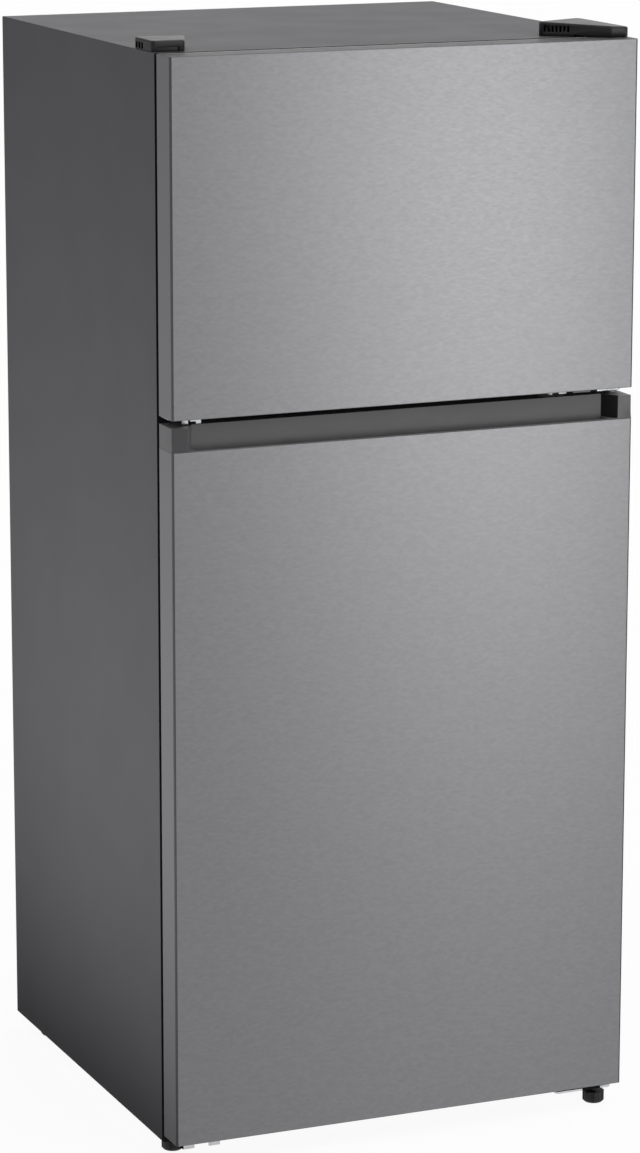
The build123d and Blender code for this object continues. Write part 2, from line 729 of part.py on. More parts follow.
def hinge_hood():
    """The hinge cover's outer form, pointed to the left and to the rear, its top falling to the right."""
    right = HALF - COVER_INSET
    outline = [
        (HALF - HINGE_COVER_LENGTH, Y_FRONT + HINGE_COVER_TIP_SETBACK),
        (HALF - HINGE_COVER_NOSE_WIDTH, Y_FRONT + HINGE_COVER_NOSE),
        (right, Y_FRONT + HINGE_COVER_NOSE),
        (right, Y_FRONT + HINGE_COVER_REAR),
    ]
    body = rounded(upright(outline, Z_TOP, HINGE_COVER_HIGH), Axis.Z, COVER_CORNER)
    high, low = Z_TOP + HINGE_COVER_HIGH, Z_TOP + HINGE_COVER_LOW
    tip = (HALF - HINGE_COVER_LENGTH, Y_FRONT, high)
    slope = make_face(Polyline(tip, (HALF, Y_FRONT, low), (HALF, Y_FRONT, high), close=True))
    body -= extrude(slope, amount=OVERALL_DEPTH, dir=(0, 1, 0))
    top_edges = body.faces().filter_by(lambda face: face.normal_at().Z > 0.9).edges()
    return fillet(top_edges, COVER_EDGE)


def top_hinge_cover():
    """Hollow hood over the top hinge, with vent slots by its tip."""
    cover = hollowed(hinge_hood())
    over_door = (Y_FRONT, Y_CASE)
    cover -= block((HALF - HINGE_COVER_LENGTH, HALF), over_door, (Z_TOP, Z_TOP + COVER_LIFT))
    run = Vector(HINGE_COVER_LENGTH - HINGE_COVER_NOSE_WIDTH, HINGE_COVER_NOSE - HINGE_COVER_TIP_SETBACK)
    turn = degrees(atan2(run.Y, run.X))
    tip = Vector(HALF - HINGE_COVER_LENGTH, Y_FRONT + HINGE_COVER_TIP_SETBACK)
    slot = Rot(0, 0, turn) * Box(HINGE_COVER_SLOT, 4 * COVER_WALL, COVER_SLOT_HEIGHT)
    for number in range(HINGE_COVER_SLOTS):
        place = tip + run.normalized() * (HINGE_COVER_SLOT_START + HINGE_COVER_SLOT_PITCH * number)
        cover -= Pos(place.X, place.Y, Z_TOP + HINGE_COVER_HIGH / 2) * slot
    return cover


def top_left_cover():
    """Hollow blank cover over the spare hinge holes, wider behind and open low at the front."""
    left = COVER_INSET - HALF
    front = Y_CASE + BLANK_COVER_SETBACK
    rear = front + BLANK_COVER_DEPTH
    outline = [
        (left, front),
        (left + BLANK_COVER_WIDTH, front),
        (left + BLANK_COVER_REAR_WIDTH, rear),
        (left, rear),
    ]
    body = rounded(upright(outline, Z_TOP, BLANK_COVER_HEIGHT), Axis.Z, COVER_CORNER)
    cover = hollowed(fillet(body.faces().sort_by(Axis.Z)[-1].edges(), COVER_EDGE))
    mouth = (left + COVER_CORNER, left + BLANK_COVER_WIDTH - COVER_CORNER)
    cover -= block(mouth, (front, front + COVER_WALL), (Z_TOP, Z_TOP + BLANK_COVER_MOUTH))
    for number in range(BLANK_COVER_SLOTS):
        end = rear - COVER_CORNER - BLANK_COVER_SLOT_PITCH * number
        slot_z = (Z_TOP + COVER_WALL, Z_TOP + COVER_WALL + COVER_SLOT_HEIGHT)
        cover -= block((left, left + COVER_WALL), (end - BLANK_COVER_SLOT, end), slot_z)
    return cover


# Doors.


def door_shape(inset, back, z):
    """Plan of a door between two heights, its two front edges rounded."""
    half = HALF - inset
    shape = block((-half, half), (Y_FRONT + inset, back), z)
    return fillet(shape.edges().filter_by(Axis.Z).group_by(Axis.Y)[0], DOOR_EDGE_RADIUS - inset)


def door_core(low, high):
    """What fills a door's steel skin between two heights."""
    return door_shape(DOOR_SHEET, Y_DOOR_BACK - LINER_WALL, (low, high))


def door_skin(door):
    """Stainless sheet folded round the front and both sides."""
    z = (door.low, door.skin_high)
    return door_shape(0, Y_DOOR_BACK, z) - door_shape(DOOR_SHEET, Y_DOOR_BACK, z)


def dyke_core(door):
    """Foam inside the raised ridge of the inner door."""
    z = (door.dyke_low + LINER_WALL, door.dyke_high - LINER_WALL)
    y = (Y_DOOR_BACK - LINER_WALL, Y_DYKE - LINER_WALL)
    return frame(door.dyke_half - LINER_WALL, z, DYKE_WIDTH - 2 * LINER_WALL, y)


def door_liner(door):
    """Inner door: a plate, a raised ridge all round and lugs that carry the bins."""
    half = HALF - DOOR_SHEET
    plate = block((-half, half), (Y_DOOR_BACK - LINER_WALL, Y_DOOR_BACK), (door.low, door.liner_high))
    ridge = frame(door.dyke_half, (door.dyke_low, door.dyke_high), DYKE_WIDTH, (Y_DOOR_BACK, Y_DYKE))
    ridge = fillet(ridge.faces().sort_by(Axis.Y)[-1].edges(), DYKE_EDGE)
    liner = plate + ridge - dyke_core(door)
    for level in door.bin_levels:
        y, z = (Y_DOOR_BACK, Y_DYKE - LUG_SETBACK), (level - LUG_HEIGHT, level)
        for side in (-1, 1):
            x = sorted((side * door.bin_half, side * (door.bin_half - LUG_REACH)))
            liner += block(x, y, z)
    return liner


def door_foam(door):
    return door_core(door.foam_low, door.foam_high) + dyke_core(door)


def door_gasket(door):
    """Magnetic seal on the door's back, just clear of the case."""
    z = (door.low + GASKET_END_INSET, door.high - GASKET_END_INSET)
    return frame(GASKET_HALF, z, GASKET_WIDTH, (Y_DOOR_BACK, Y_CASE - SLIDE_GAP))


def open_tray(x, y, z, corner):
    """Open box whose far corners are rounded."""
    outer = block(x, y, z)
    outer = fillet(outer.edges().filter_by(Axis.Z).group_by(Axis.Y)[-1], corner)
    hollow = [(low + TRAY_WALL, high - TRAY_WALL) for low, high in (x, y)]
    inner = block(*hollow, (z[0] + TRAY_WALL, z[1]))
    inner = fillet(inner.edges().filter_by(Axis.Z).group_by(Axis.Y)[-1], corner - TRAY_WALL)
    return outer - inner


def door_bins(door):
    half = door.bin_half - BIN_SIDE_GAP
    y = (Y_DOOR_BACK, Y_DOOR_BACK + door.bin_depth)
    return [open_tray((-half, half), y, (level, level + BIN_HEIGHT), BIN_CORNER) for level in door.bin_levels]


def bush_hole(low, high):
    return rod(BUSH_RADIUS, (HINGE_X, HINGE_Y, low), (HINGE_X, HINGE_Y, high))


def bush(low, high):
    bore = rod(PIN_RADIUS + RUN_FIT, (HINGE_X, HINGE_Y, low), (HINGE_X, HINGE_Y, high))
    return bush_hole(low, high) - bore


def door_bushes(door):
    return [bush(door.low, door.low + BUSH_LENGTH), bush(door.high - BUSH_LENGTH, door.high)]


def freezer_door_end_caps():
    """Plastic caps in both ends of the skin; the lower one is hollowed for the fingers."""
    low, high = FREEZER_DOOR.low, FREEZER_DOOR.high
    lower = door_core(low, low + CAP_HEIGHT) - bush_hole(low, low + BUSH_LENGTH)
    grip_y = (Y_FRONT + GRIP_SETBACK, Y_FRONT + GRIP_SETBACK + GRIP_DEPTH)
    grip = block((-GRIP_HALF_WIDTH, GRIP_HALF_WIDTH), grip_y, (low, low + GRIP_HEIGHT))
    upper = door_core(high - CAP_HEIGHT, high) - bush_hole(high - BUSH_LENGTH, high)
    return [lower - grip, upper]


def fridge_door_bottom_cap():
    low = FRIDGE_DOOR.low
    return door_core(low, low + CAP_HEIGHT) - bush_hole(low, low + BUSH_LENGTH)


def freezer_door_stops():
    """Stop plates under both ends of the freezer door; the spare left one has tabs turned down."""
    outer = HALF - BRACKET_EDGE
    y = (HINGE_Y - STOP_DEPTH / 2, HINGE_Y + STOP_DEPTH / 2)
    z = (Z_FREEZER_DOOR - STOP_SHEET, Z_FREEZER_DOOR)
    right = block((outer - STOP_WIDTH, outer), y, z) - bush_hole(*z)
    left = block((-outer, STOP_WIDTH - outer), y, z)
    for inset, width, drop in STOP_TABS:
        x = (inset - HALF, inset - HALF + width)
        left += block(x, (y[0], y[0] + STOP_SHEET), (z[0] - drop, z[1]))
    return [right, left]


def pocket_half():
    return HALF - TRIM_END - RECESS_END_SLOPE


def pocket_shell():
    """The part of the trim that hangs inside the door, behind the skin."""
    half = pocket_half() + POCKET_WALL
    y = (Y_FRONT + DOOR_SHEET, Y_FRONT + RECESS_DEPTH + POCKET_WALL)
    return block((-half, half), y, (Z_TRIM - POCKET_DEPTH - POCKET_WALL, Z_TRIM))


def fridge_handle_trim():
    """Top of the fridge door: full-width trim, hollowed at the front as a finger recess."""
    trim = door_shape(0, Y_DOOR_BACK, (Z_TRIM, Z_FRIDGE_TOP)) + pocket_shell()
    half = HALF - DOOR_SHEET
    trim -= block((-half, half), (Y_DOOR_BACK - LINER_WALL, Y_DOOR_BACK), (Z_TRIM, FRIDGE_DOOR.liner_high))
    mouth, rear = HALF - TRIM_END, pocket_half()
    outline = [
        (-mouth, Y_FRONT),
        (mouth, Y_FRONT),
        (rear, Y_FRONT + RECESS_DEPTH),
        (-rear, Y_FRONT + RECESS_DEPTH),
    ]
    trim -= upright(outline, Z_TRIM + RECESS_SILL, TRIM_HEIGHT - RECESS_SILL)
    pocket_y = (Y_FRONT + TRIM_LIP_DEPTH, Y_FRONT + RECESS_DEPTH)
    trim -= block((-rear, rear), pocket_y, (Z_TRIM - POCKET_DEPTH, Z_TRIM + RECESS_SILL))
    return trim - bush_hole(Z_FRIDGE_TOP - BUSH_LENGTH, Z_FRIDGE_TOP)


def fridge_door_foam():
    return door_foam(FRIDGE_DOOR) - pocket_shell()


# Inside the fridge.


def shelf_glass():
    half = FRIDGE_HALF - SHELF_SIDE_GAP
    y = (Y_SHELF + SHELF_GRIP, Y_FRIDGE_BACK - SHELF_REAR_GAP - SHELF_GRIP)
    return [block((-half, half), y, (level, level + SHELF_GLASS)) for level in SHELF_LEVELS]


def shelf_trims():
    """Front and rear edging of each glass shelf, grooved for the pane."""
    half = FRIDGE_HALF - SHELF_SIDE_GAP
    rear = Y_FRIDGE_BACK - SHELF_REAR_GAP
    spans = [(Y_SHELF, Y_SHELF + SHELF_TRIM_DEPTH), (rear - SHELF_TRIM_DEPTH, rear)]
    trims = []
    for level, pane in zip(SHELF_LEVELS, shelf_glass()):
        z = (level - TRAY_WALL, level - TRAY_WALL + SHELF_TRIM_HEIGHT)
        inside = half - RIB_DEPTH
        for y in spans:
            upper = block((-half, half), y, (level, z[1]))
            trims.append(upper + block((-inside, inside), y, (z[0], level)) - pane)
    return trims


def crisper(side):
    """Open drawer on the fridge floor, with a finger lip along its front."""
    x = sorted((side * CRISPER_GAP / 2, side * (FRIDGE_HALF - CRISPER_GAP)))
    y = (Y_SHELF + CRISPER_LIP, Y_STEP - CRISPER_GAP)
    z = (Z_FRIDGE_FLOOR + SLIDE_GAP, Z_COVER_SHELF - CRISPER_HEADROOM)
    outer = rounded(block(x, y, z), Axis.Y, LINER_CORNER)
    outer += block(x, y, ((z[0] + z[1]) / 2, z[1]))
    hollow = [(low + TRAY_WALL, high - TRAY_WALL) for low, high in (x, y)]
    inner = block(*hollow, (z[0] + TRAY_WALL, z[1] + LINER_CORNER))
    drawer = outer - rounded(inner, Axis.Y, LINER_CORNER - TRAY_WALL)
    drawer -= block(*hollow, ((z[0] + z[1]) / 2, z[1]))
    return drawer + block(x, (Y_SHELF, y[0]), (z[1] - CRISPER_LIP_HEIGHT, z[1]))


HOUSING_Y = (Y_CASE + HOUSING_SETBACK, Y_CASE + HOUSING_SETBACK + HOUSING_DEPTH)
HOUSING_Z = (Z_FRIDGE_CEILING - HOUSING_HEIGHT, Z_FRIDGE_CEILING)
HOUSING_MIDDLE = (HOUSING_Y[0] + HOUSING_Y[1]) / 2
DIAL_AXIS = (-DIAL_OFFSET, HOUSING_MIDDLE)
BUTTON_Z = Z_FRIDGE_CEILING - BUTTON_DROP


def lens_box(gap):
    x = (LENS_OFFSET - LENS_WIDTH / 2 - gap, LENS_OFFSET + LENS_WIDTH / 2 + gap)
    y = (HOUSING_MIDDLE - LENS_DEPTH / 2 - gap, HOUSING_MIDDLE + LENS_DEPTH / 2 + gap)
    return block(x, y, (HOUSING_Z[0], HOUSING_Z[0] + LENS_THICKNESS))


def button_rod(radius, front, rear):
    return rod(radius, (BUTTON_OFFSET, front, BUTTON_Z), (BUTTON_OFFSET, rear, BUTTON_Z))


def control_housing():
    """Moulded housing for the lamp, the temperature control and the lamp switch."""
    half = HOUSING_WIDTH / 2
    housing = rounded(block((-half, half), HOUSING_Y, HOUSING_Z), Axis.Z, HOUSING_CORNER)
    housing -= lens_box(LOOSE_FIT)
    shaft_low = (*DIAL_AXIS, HOUSING_Z[0])
    shaft_high = (*DIAL_AXIS, HOUSING_Z[0] + DIAL_SHAFT_LENGTH + SLIDE_GAP)
    housing -= rod(DIAL_SHAFT + RUN_FIT, shaft_low, shaft_high)
    return housing - button_rod(BUTTON_RADIUS + RUN_FIT, HOUSING_Y[0], HOUSING_Y[0] + BUTTON_ROOT)


def temperature_dial():
    """Round knob with a grip bar, on a shaft up into the housing."""
    top = HOUSING_Z[0] - SLIDE_GAP
    low = top - DIAL_HEIGHT
    knob = rod(DIAL_RADIUS, (*DIAL_AXIS, low + DIAL_GRIP_HEIGHT), (*DIAL_AXIS, top))
    x = (DIAL_AXIS[0] - DIAL_GRIP_WIDTH / 2, DIAL_AXIS[0] + DIAL_GRIP_WIDTH / 2)
    reach = DIAL_RADIUS - DIAL_GRIP_WIDTH / 2
    grip = block(x, (DIAL_AXIS[1] - reach, DIAL_AXIS[1] + reach), (low, low + DIAL_GRIP_HEIGHT))
    shaft = rod(DIAL_SHAFT, (*DIAL_AXIS, top), (*DIAL_AXIS, HOUSING_Z[0] + DIAL_SHAFT_LENGTH))
    return knob + rounded(grip, Axis.Z, DIAL_GRIP_WIDTH / 3) + shaft


def light_switch_button():
    """Plunger that the closed door's ridge holds in."""
    return button_rod(BUTTON_RADIUS, Y_DYKE + SLIDE_GAP, HOUSING_Y[0] + BUTTON_ROOT - SLIDE_GAP)


# Inside the freezer.


def freezer_back_cover():
    """Plate in front of the evaporator, with an air grille before the fan."""
    half = FREEZER_HALF - CHAMBER_SIDE_GAP
    z = (Z_FREEZER_FLOOR + RETURN_GAP, Z_FREEZER_CEILING - CHAMBER_SIDE_GAP)
    cover = block((-half, half), (Y_CHAMBER, Y_CHAMBER + CHAMBER_SHEET), z)
    cover = rounded(cover, Axis.Y, LINER_CORNER)
    y = (Y_CHAMBER, Y_CHAMBER + CHAMBER_SHEET)
    for number in range(GRILLE_SLOTS):
        middle = Z_FAN + GRILLE_PITCH * (number - (GRILLE_SLOTS - 1) / 2)
        slot_z = (middle - GRILLE_SLOT_HEIGHT / 2, middle + GRILLE_SLOT_HEIGHT / 2)
        cover -= block((-GRILLE_SLOT_LENGTH / 2, GRILLE_SLOT_LENGTH / 2), y, slot_z)
    return cover


def freezer_shelf():
    """Wire shelf: two long frame wires and one across each end carry the fine wires."""
    half = FREEZER_HALF - SHELF_SIDE_GAP
    z = Z_FREEZER_SHELF + FRAME_WIRE_RADIUS
    front = Y_FREEZER_SHELF + FRAME_WIRE_RADIUS
    rear = Y_CHAMBER - SHELF_REAR_GAP
    shelf = rod(FRAME_WIRE_RADIUS, (-half, front, z), (half, front, z))
    shelf += rod(FRAME_WIRE_RADIUS, (-half, rear, z), (half, rear, z))
    top = z + FRAME_WIRE_RADIUS
    pitch = 2 * (half - FRAME_WIRE_RADIUS) / (WIRE_SHELF_COUNT - 1)
    for number in range(WIRE_SHELF_COUNT):
        x = pitch * (number - (WIRE_SHELF_COUNT - 1) / 2)
        shelf += rod(WIRE_RADIUS, (x, front - WIRE_RADIUS, top), (x, rear + WIRE_RADIUS, top))
    return shelf


def coil_rows():
    return [(Y_COIL, Z_COIL + COIL_PITCH * number) for number in range(COIL_PASSES)]


def evaporator():
    """Serpentine tube and the fins pushed on it."""
    inlet = (COMPRESSOR_X, Y_FREEZER_BACK - COIL_SETBACK / 2 + COIL_TUBE, Z_COIL)
    points = [inlet] + zigzag(COMPRESSOR_X, -COMPRESSOR_X, coil_rows())
    coil = tube(COIL_TUBE, COIL_PITCH * BEND_SHARE, points)
    reach = COMPRESSOR_X - COIL_PITCH
    z = (Z_COIL - FIN_MARGIN, coil_rows()[-1][1] + FIN_MARGIN)
    fin = block((-FIN_SHEET / 2, FIN_SHEET / 2), (Y_COIL - FIN_DEPTH / 2, Y_COIL + FIN_DEPTH / 2), z)
    for y, height in coil_rows():
        fin -= rod(COIL_TUBE + LOOSE_FIT / 2, (-FIN_SHEET, y, height), (FIN_SHEET, y, height))
    pitch = 2 * reach / (FIN_COUNT - 1)
    return [coil] + [Pos(pitch * number - reach, 0, 0) * fin for number in range(FIN_COUNT)]


# Fans.


def fan(radius):
    """Bladed wheel about Z, bored for its motor's shaft."""
    hub = radius * FAN_HUB_SHARE
    wheel = Cylinder(hub, FAN_DEPTH)
    blade = Rot(FAN_PITCH, 0, 0) * Box(radius, radius * FAN_CHORD_SHARE, FAN_BLADE_SHEET)
    blade &= Cylinder(radius * 2, FAN_DEPTH)
    for number in range(FAN_BLADES):
        wheel += Rot(0, 0, number * 360 / FAN_BLADES) * Pos(radius / 2, 0, 0) * blade
    wheel &= Cylinder(radius, FAN_DEPTH)
    return wheel - Cylinder(MOTOR_SHAFT + RUN_FIT, FAN_DEPTH)


def motor(length):
    """Motor can about Z with its shaft through the fan's hub; the fan is centred on the origin."""
    rear = FAN_DEPTH / 2 + MOTOR_GAP
    shaft = rod(MOTOR_SHAFT, (0, 0, -FAN_DEPTH / 2), (0, 0, rear))
    return shaft + rod(MOTOR_RADIUS, (0, 0, rear), (0, 0, rear + length))


EVAPORATOR_FAN_PLANE = Plane(origin=(0, Y_FAN + FAN_DEPTH / 2, Z_FAN), x_dir=(1, 0, 0), z_dir=(0, 1, 0))
MACHINE_FAN_PLANE = Plane(
    origin=(MACHINE_FAN_X, COMPRESSOR_Y, Z_MACHINE_FLOOR + MACHINE_FAN_RISE),
    x_dir=(0, 1, 0),
    z_dir=(1, 0, 0),
)


def fan_motors():
    """The evaporator fan's motor on the rear wall, the condenser fan's on a post."""
    length = Y_FREEZER_BACK - Y_FAN - FAN_DEPTH - MOTOR_GAP
    upper = EVAPORATOR_FAN_PLANE * motor(length)
    lower = MACHINE_FAN_PLANE * motor(MOTOR_LENGTH)
    start = MACHINE_FAN_X + FAN_DEPTH / 2 + MOTOR_GAP
    y = (COMPRESSOR_Y - MOTOR_FOOT / 2, COMPRESSOR_Y + MOTOR_FOOT / 2)
    post_z = (Z_MACHINE_FLOOR, Z_MACHINE_FLOOR + MACHINE_FAN_RISE)
    post = block((start + MOTOR_LENGTH - MOTOR_FOOT, start + MOTOR_LENGTH), y, post_z)
    return [upper, lower + post]


# Machine room.


def compressor_base():
    """Floor of the machine room, turned up at the rear for its cover's screws."""
    across = (-INNER_HALF, INNER_HALF)
    flange_y = (Y_REAR_COVER - REAR_COVER_SHEET - CASE_SHEET, Y_REAR_COVER - REAR_COVER_SHEET)
    floor = block(across, (Y_MACHINE, flange_y[1]), (MACHINE_FLOOR, Z_MACHINE_FLOOR))
    base = floor + block(across, flange_y, (MACHINE_FLOOR, Z_MACHINE_FLOOR + COVER_FLANGE))
    for screw in COVER_SCREWS:
        base -= screw.hole()
    return base


def grommet_places():
    return [
        (COMPRESSOR_X + side * GROMMET_SPREAD_X, COMPRESSOR_Y + end * GROMMET_SPREAD_Y)
        for side in (-1, 1)
        for end in (-1, 1)
    ]


def compressor():
    """Oval welded shell on a foot plate, and the cover over its terminals."""
    low = Z_COMPRESSOR + COMPRESSOR_PLATE
    place = Pos(COMPRESSOR_X, COMPRESSOR_Y, low)
    shell = extrude(place * Ellipse(COMPRESSOR_LONG, COMPRESSOR_SHORT), amount=COMPRESSOR_HEIGHT)
    shell = fillet(shell.faces().sort_by(Axis.Z)[-1].edges(), COMPRESSOR_DOME)
    seam_outline = Ellipse(COMPRESSOR_LONG + COMPRESSOR_SEAM, COMPRESSOR_SHORT + COMPRESSOR_SEAM)
    seam_place = place * Pos(0, 0, COMPRESSOR_HEIGHT / 2)
    shell += extrude(seam_place * seam_outline, amount=COMPRESSOR_SEAM_HEIGHT)
    half_x, half_y = GROMMET_SPREAD_X + GROMMET_EDGE, GROMMET_SPREAD_Y + GROMMET_EDGE
    plate_x = (COMPRESSOR_X - half_x, COMPRESSOR_X + half_x)
    plate_y = (COMPRESSOR_Y - half_y, COMPRESSOR_Y + half_y)
    shell += rounded(block(plate_x, plate_y, (Z_COMPRESSOR, low)), Axis.Z, GROMMET_EDGE / 2)
    for x, y in grommet_places():
        hole = rod(GROMMET_NECK + LOOSE_FIT, (x, y, Z_COMPRESSOR), (x, y, low + GROMMET_CAP))
        shell -= hole
        shell -= rod(GROMMET_RADIUS + LOOSE_FIT, (x, y, low), (x, y, low + GROMMET_CAP + SLIDE_GAP))
    right = COMPRESSOR_X + COMPRESSOR_LONG + TERMINAL_WIDTH
    terminal_z = low + COMPRESSOR_HEIGHT / 2 + COMPRESSOR_SEAM_HEIGHT + SLIDE_GAP - TERMINAL_SIZE
    cover = block(
        (COMPRESSOR_X + COMPRESSOR_LONG / 2, right),
        (COMPRESSOR_Y - TERMINAL_SIZE / 2, COMPRESSOR_Y + TERMINAL_SIZE / 2),
        (terminal_z, low + COMPRESSOR_HEIGHT / 2),
    )
    return [shell, (cover - shell).solids().sort_by(Axis.X)[-1]]


def compressor_grommets():
    grommets = []
    plate_top = Z_COMPRESSOR + COMPRESSOR_PLATE
    for x, y in grommet_places():
        foot = rod(GROMMET_RADIUS, (x, y, Z_MACHINE_FLOOR), (x, y, Z_COMPRESSOR))
        neck = rod(GROMMET_NECK, (x, y, Z_COMPRESSOR), (x, y, plate_top))
        cap = rod(GROMMET_RADIUS, (x, y, plate_top), (x, y, plate_top + GROMMET_CAP))
        grommets.append(foot + neck + cap)
    return grommets


def condenser_rows():
    """Places of the condenser's passes: up one layer and down the next."""
    rows = []
    for layer in range(CONDENSER_LAYERS):
        heights = [Z_CONDENSER + CONDENSER_PITCH * number for number in range(CONDENSER_PASSES)]
        if layer % 2:
            heights.reverse()
        rows += [(Y_CONDENSER + CONDENSER_LAYER_PITCH * layer, z) for z in heights]
    return rows


def condenser_coil():
    points = zigzag(CONDENSER_NEAR, CONDENSER_FAR, condenser_rows())
    return tube(CONDENSER_TUBE, CONDENSER_PITCH * BEND_SHARE, points)


def suction_points():
    """From the compressor's back, up through the rear wall and into the freezer."""
    start = COMPRESSOR_Y + COMPRESSOR_SHORT + LOOSE_FIT
    end = Y_FREEZER_BACK - COIL_SETBACK / 2 + COIL_TUBE
    return [
        (COMPRESSOR_X, start, Z_SUCTION),
        (COMPRESSOR_X, Y_SUCTION, Z_SUCTION),
        (COMPRESSOR_X, Y_SUCTION, Z_COIL),
        (COMPRESSOR_X, end, Z_COIL),
    ]


def refrigerant_lines():
    """Suction line, discharge line and filter drier."""
    suction = tube(SUCTION_TUBE, SUCTION_BEND, suction_points())
    start = COMPRESSOR_Y - COMPRESSOR_SHORT - LOOSE_FIT
    discharge = tube(
        CONDENSER_TUBE,
        SUCTION_BEND,
        [
            (COMPRESSOR_X, start, Z_CONDENSER),
            (COMPRESSOR_X, Y_CONDENSER, Z_CONDENSER),
            (CONDENSER_NEAR, Y_CONDENSER, Z_CONDENSER),
        ],
    )
    y, z = condenser_rows()[-1]
    drier = rod(DRIER_RADIUS, (CONDENSER_NEAR, y, z), (CONDENSER_NEAR + DRIER_LENGTH, y, z))
    drier = chamfer(drier.edges().filter_by(GeomType.CIRCLE), DRIER_RADIUS / 3)
    return [suction, discharge, drier]


def drain_pan():
    """Tray under the condenser that catches the defrost water."""
    x = (CONDENSER_FAR - PAN_MARGIN, CONDENSER_NEAR)
    y = (Y_MACHINE + PAN_MARGIN, condenser_rows()[-1][0] + 2 * PAN_MARGIN)
    return open_tray(x, y, (Z_MACHINE_FLOOR, Z_MACHINE_FLOOR + PAN_HEIGHT), PAN_MARGIN)


GLAND_X = HALF - GLAND_INSET
GLAND_Z = Z_MACHINE_FLOOR + COVER_FLANGE + GLAND_RISE


def gland_rod(radius, front, rear):
    return rod(radius, (GLAND_X, front, GLAND_Z), (GLAND_X, rear, GLAND_Z))


def rear_cover():
    """Vented plate that closes the machine room."""
    half = INNER_HALF - REAR_COVER_GAP
    y = (Y_REAR_COVER - REAR_COVER_SHEET, Y_REAR_COVER)
    z = (Z_MACHINE_FLOOR + REAR_COVER_GAP, Z_MACHINE_TOP - CASE_SHEET - REAR_COVER_GAP)
    cover = block((-half, half), y, z)
    middle = (z[0] + z[1]) / 2
    for row in range(REAR_SLOT_ROWS):
        centre = middle + REAR_SLOT_ROW_PITCH * (row - (REAR_SLOT_ROWS - 1) / 2)
        slot_z = (centre - REAR_SLOT_HEIGHT / 2, centre + REAR_SLOT_HEIGHT / 2)
        for number in range(REAR_SLOT_COUNT):
            x = REAR_SLOT_PITCH * (number - (REAR_SLOT_COUNT - 1) / 2)
            cover -= block((x - REAR_SLOT_WIDTH / 2, x + REAR_SLOT_WIDTH / 2), y, slot_z)
    for screw in COVER_SCREWS:
        cover -= screw.hole()
    return cover - gland_rod(GLAND_RADIUS + LOOSE_FIT, *y)


def cord_gland():
    """Bush where the mains cord enters the machine room."""
    inner = Y_REAR_COVER - REAR_COVER_SHEET - GLAND_DEPTH
    barrel = gland_rod(GLAND_RADIUS, inner, Y_REAR_COVER)
    rim = gland_rod(GLAND_FLANGE, inner, Y_REAR_COVER - REAR_COVER_SHEET)
    return barrel + rim - gland_rod(GLAND_BORE, inner, Y_REAR_COVER)


# Feet and rollers.


def foot(x, y, stud_top):
    """Levelling foot: grooved pad with a tapered sole, on a stud through its bracket."""
    pad = rod(FOOT_RADIUS, (x, y, 0), (x, y, FOOT_HEIGHT))
    pad = chamfer(pad.faces().sort_by(Axis.Z)[0].edges(), FOOT_TAPER)
    for number in range(FOOT_GROOVES):
        turn = radians(360 * number / FOOT_GROOVES)
        gx, gy = x + FOOT_RADIUS * cos(turn), y + FOOT_RADIUS * sin(turn)
        pad -= rod(FOOT_GROOVE, (gx, gy, 0), (gx, gy, FOOT_HEIGHT))
    return pad + rod(FOOT_STUD, (x, y, FOOT_HEIGHT), (x, y, stud_top))


def roller_axis(side):
    return side * (HALF - ROLLER_INSET), Y_BACK - ROLLER_REAR


def roller(side):
    x, y = roller_axis(side)
    ends = [(x - ROLLER_WIDTH / 2, y, ROLLER_RADIUS), (x + ROLLER_WIDTH / 2, y, ROLLER_RADIUS)]
    wheel = rod(ROLLER_RADIUS, *ends)
    wheel = fillet(wheel.edges().filter_by(GeomType.CIRCLE), ROLLER_SIDE_GAP)
    return wheel - rod(AXLE_RADIUS + RUN_FIT, *ends)


def roller_brackets():
    """Inverted channels under the machine-room floor, each with its axle."""
    pieces = []
    for side in (-1, 1):
        x, y = roller_axis(side)
        inner = ROLLER_WIDTH / 2 + ROLLER_SIDE_GAP
        outer = inner + ROLLER_CHEEK
        span = (y - ROLLER_CHEEK_HALF, y + ROLLER_CHEEK_HALF)
        bracket = block((x - outer, x + outer), span, (MACHINE_FLOOR - ROLLER_CHEEK, MACHINE_FLOOR))
        for low, high in ((-outer, -inner), (inner, outer)):
            bracket += block((x + low, x + high), span, (ROLLER_RADIUS - AXLE_EDGE, MACHINE_FLOOR))
        ends = [(x - outer, y, ROLLER_RADIUS), (x + outer, y, ROLLER_RADIUS)]
        pieces.append(bracket - rod(AXLE_RADIUS + LOOSE_FIT / 2, *ends))
        pieces.append(rod(AXLE_RADIUS, *ends))
    return pieces


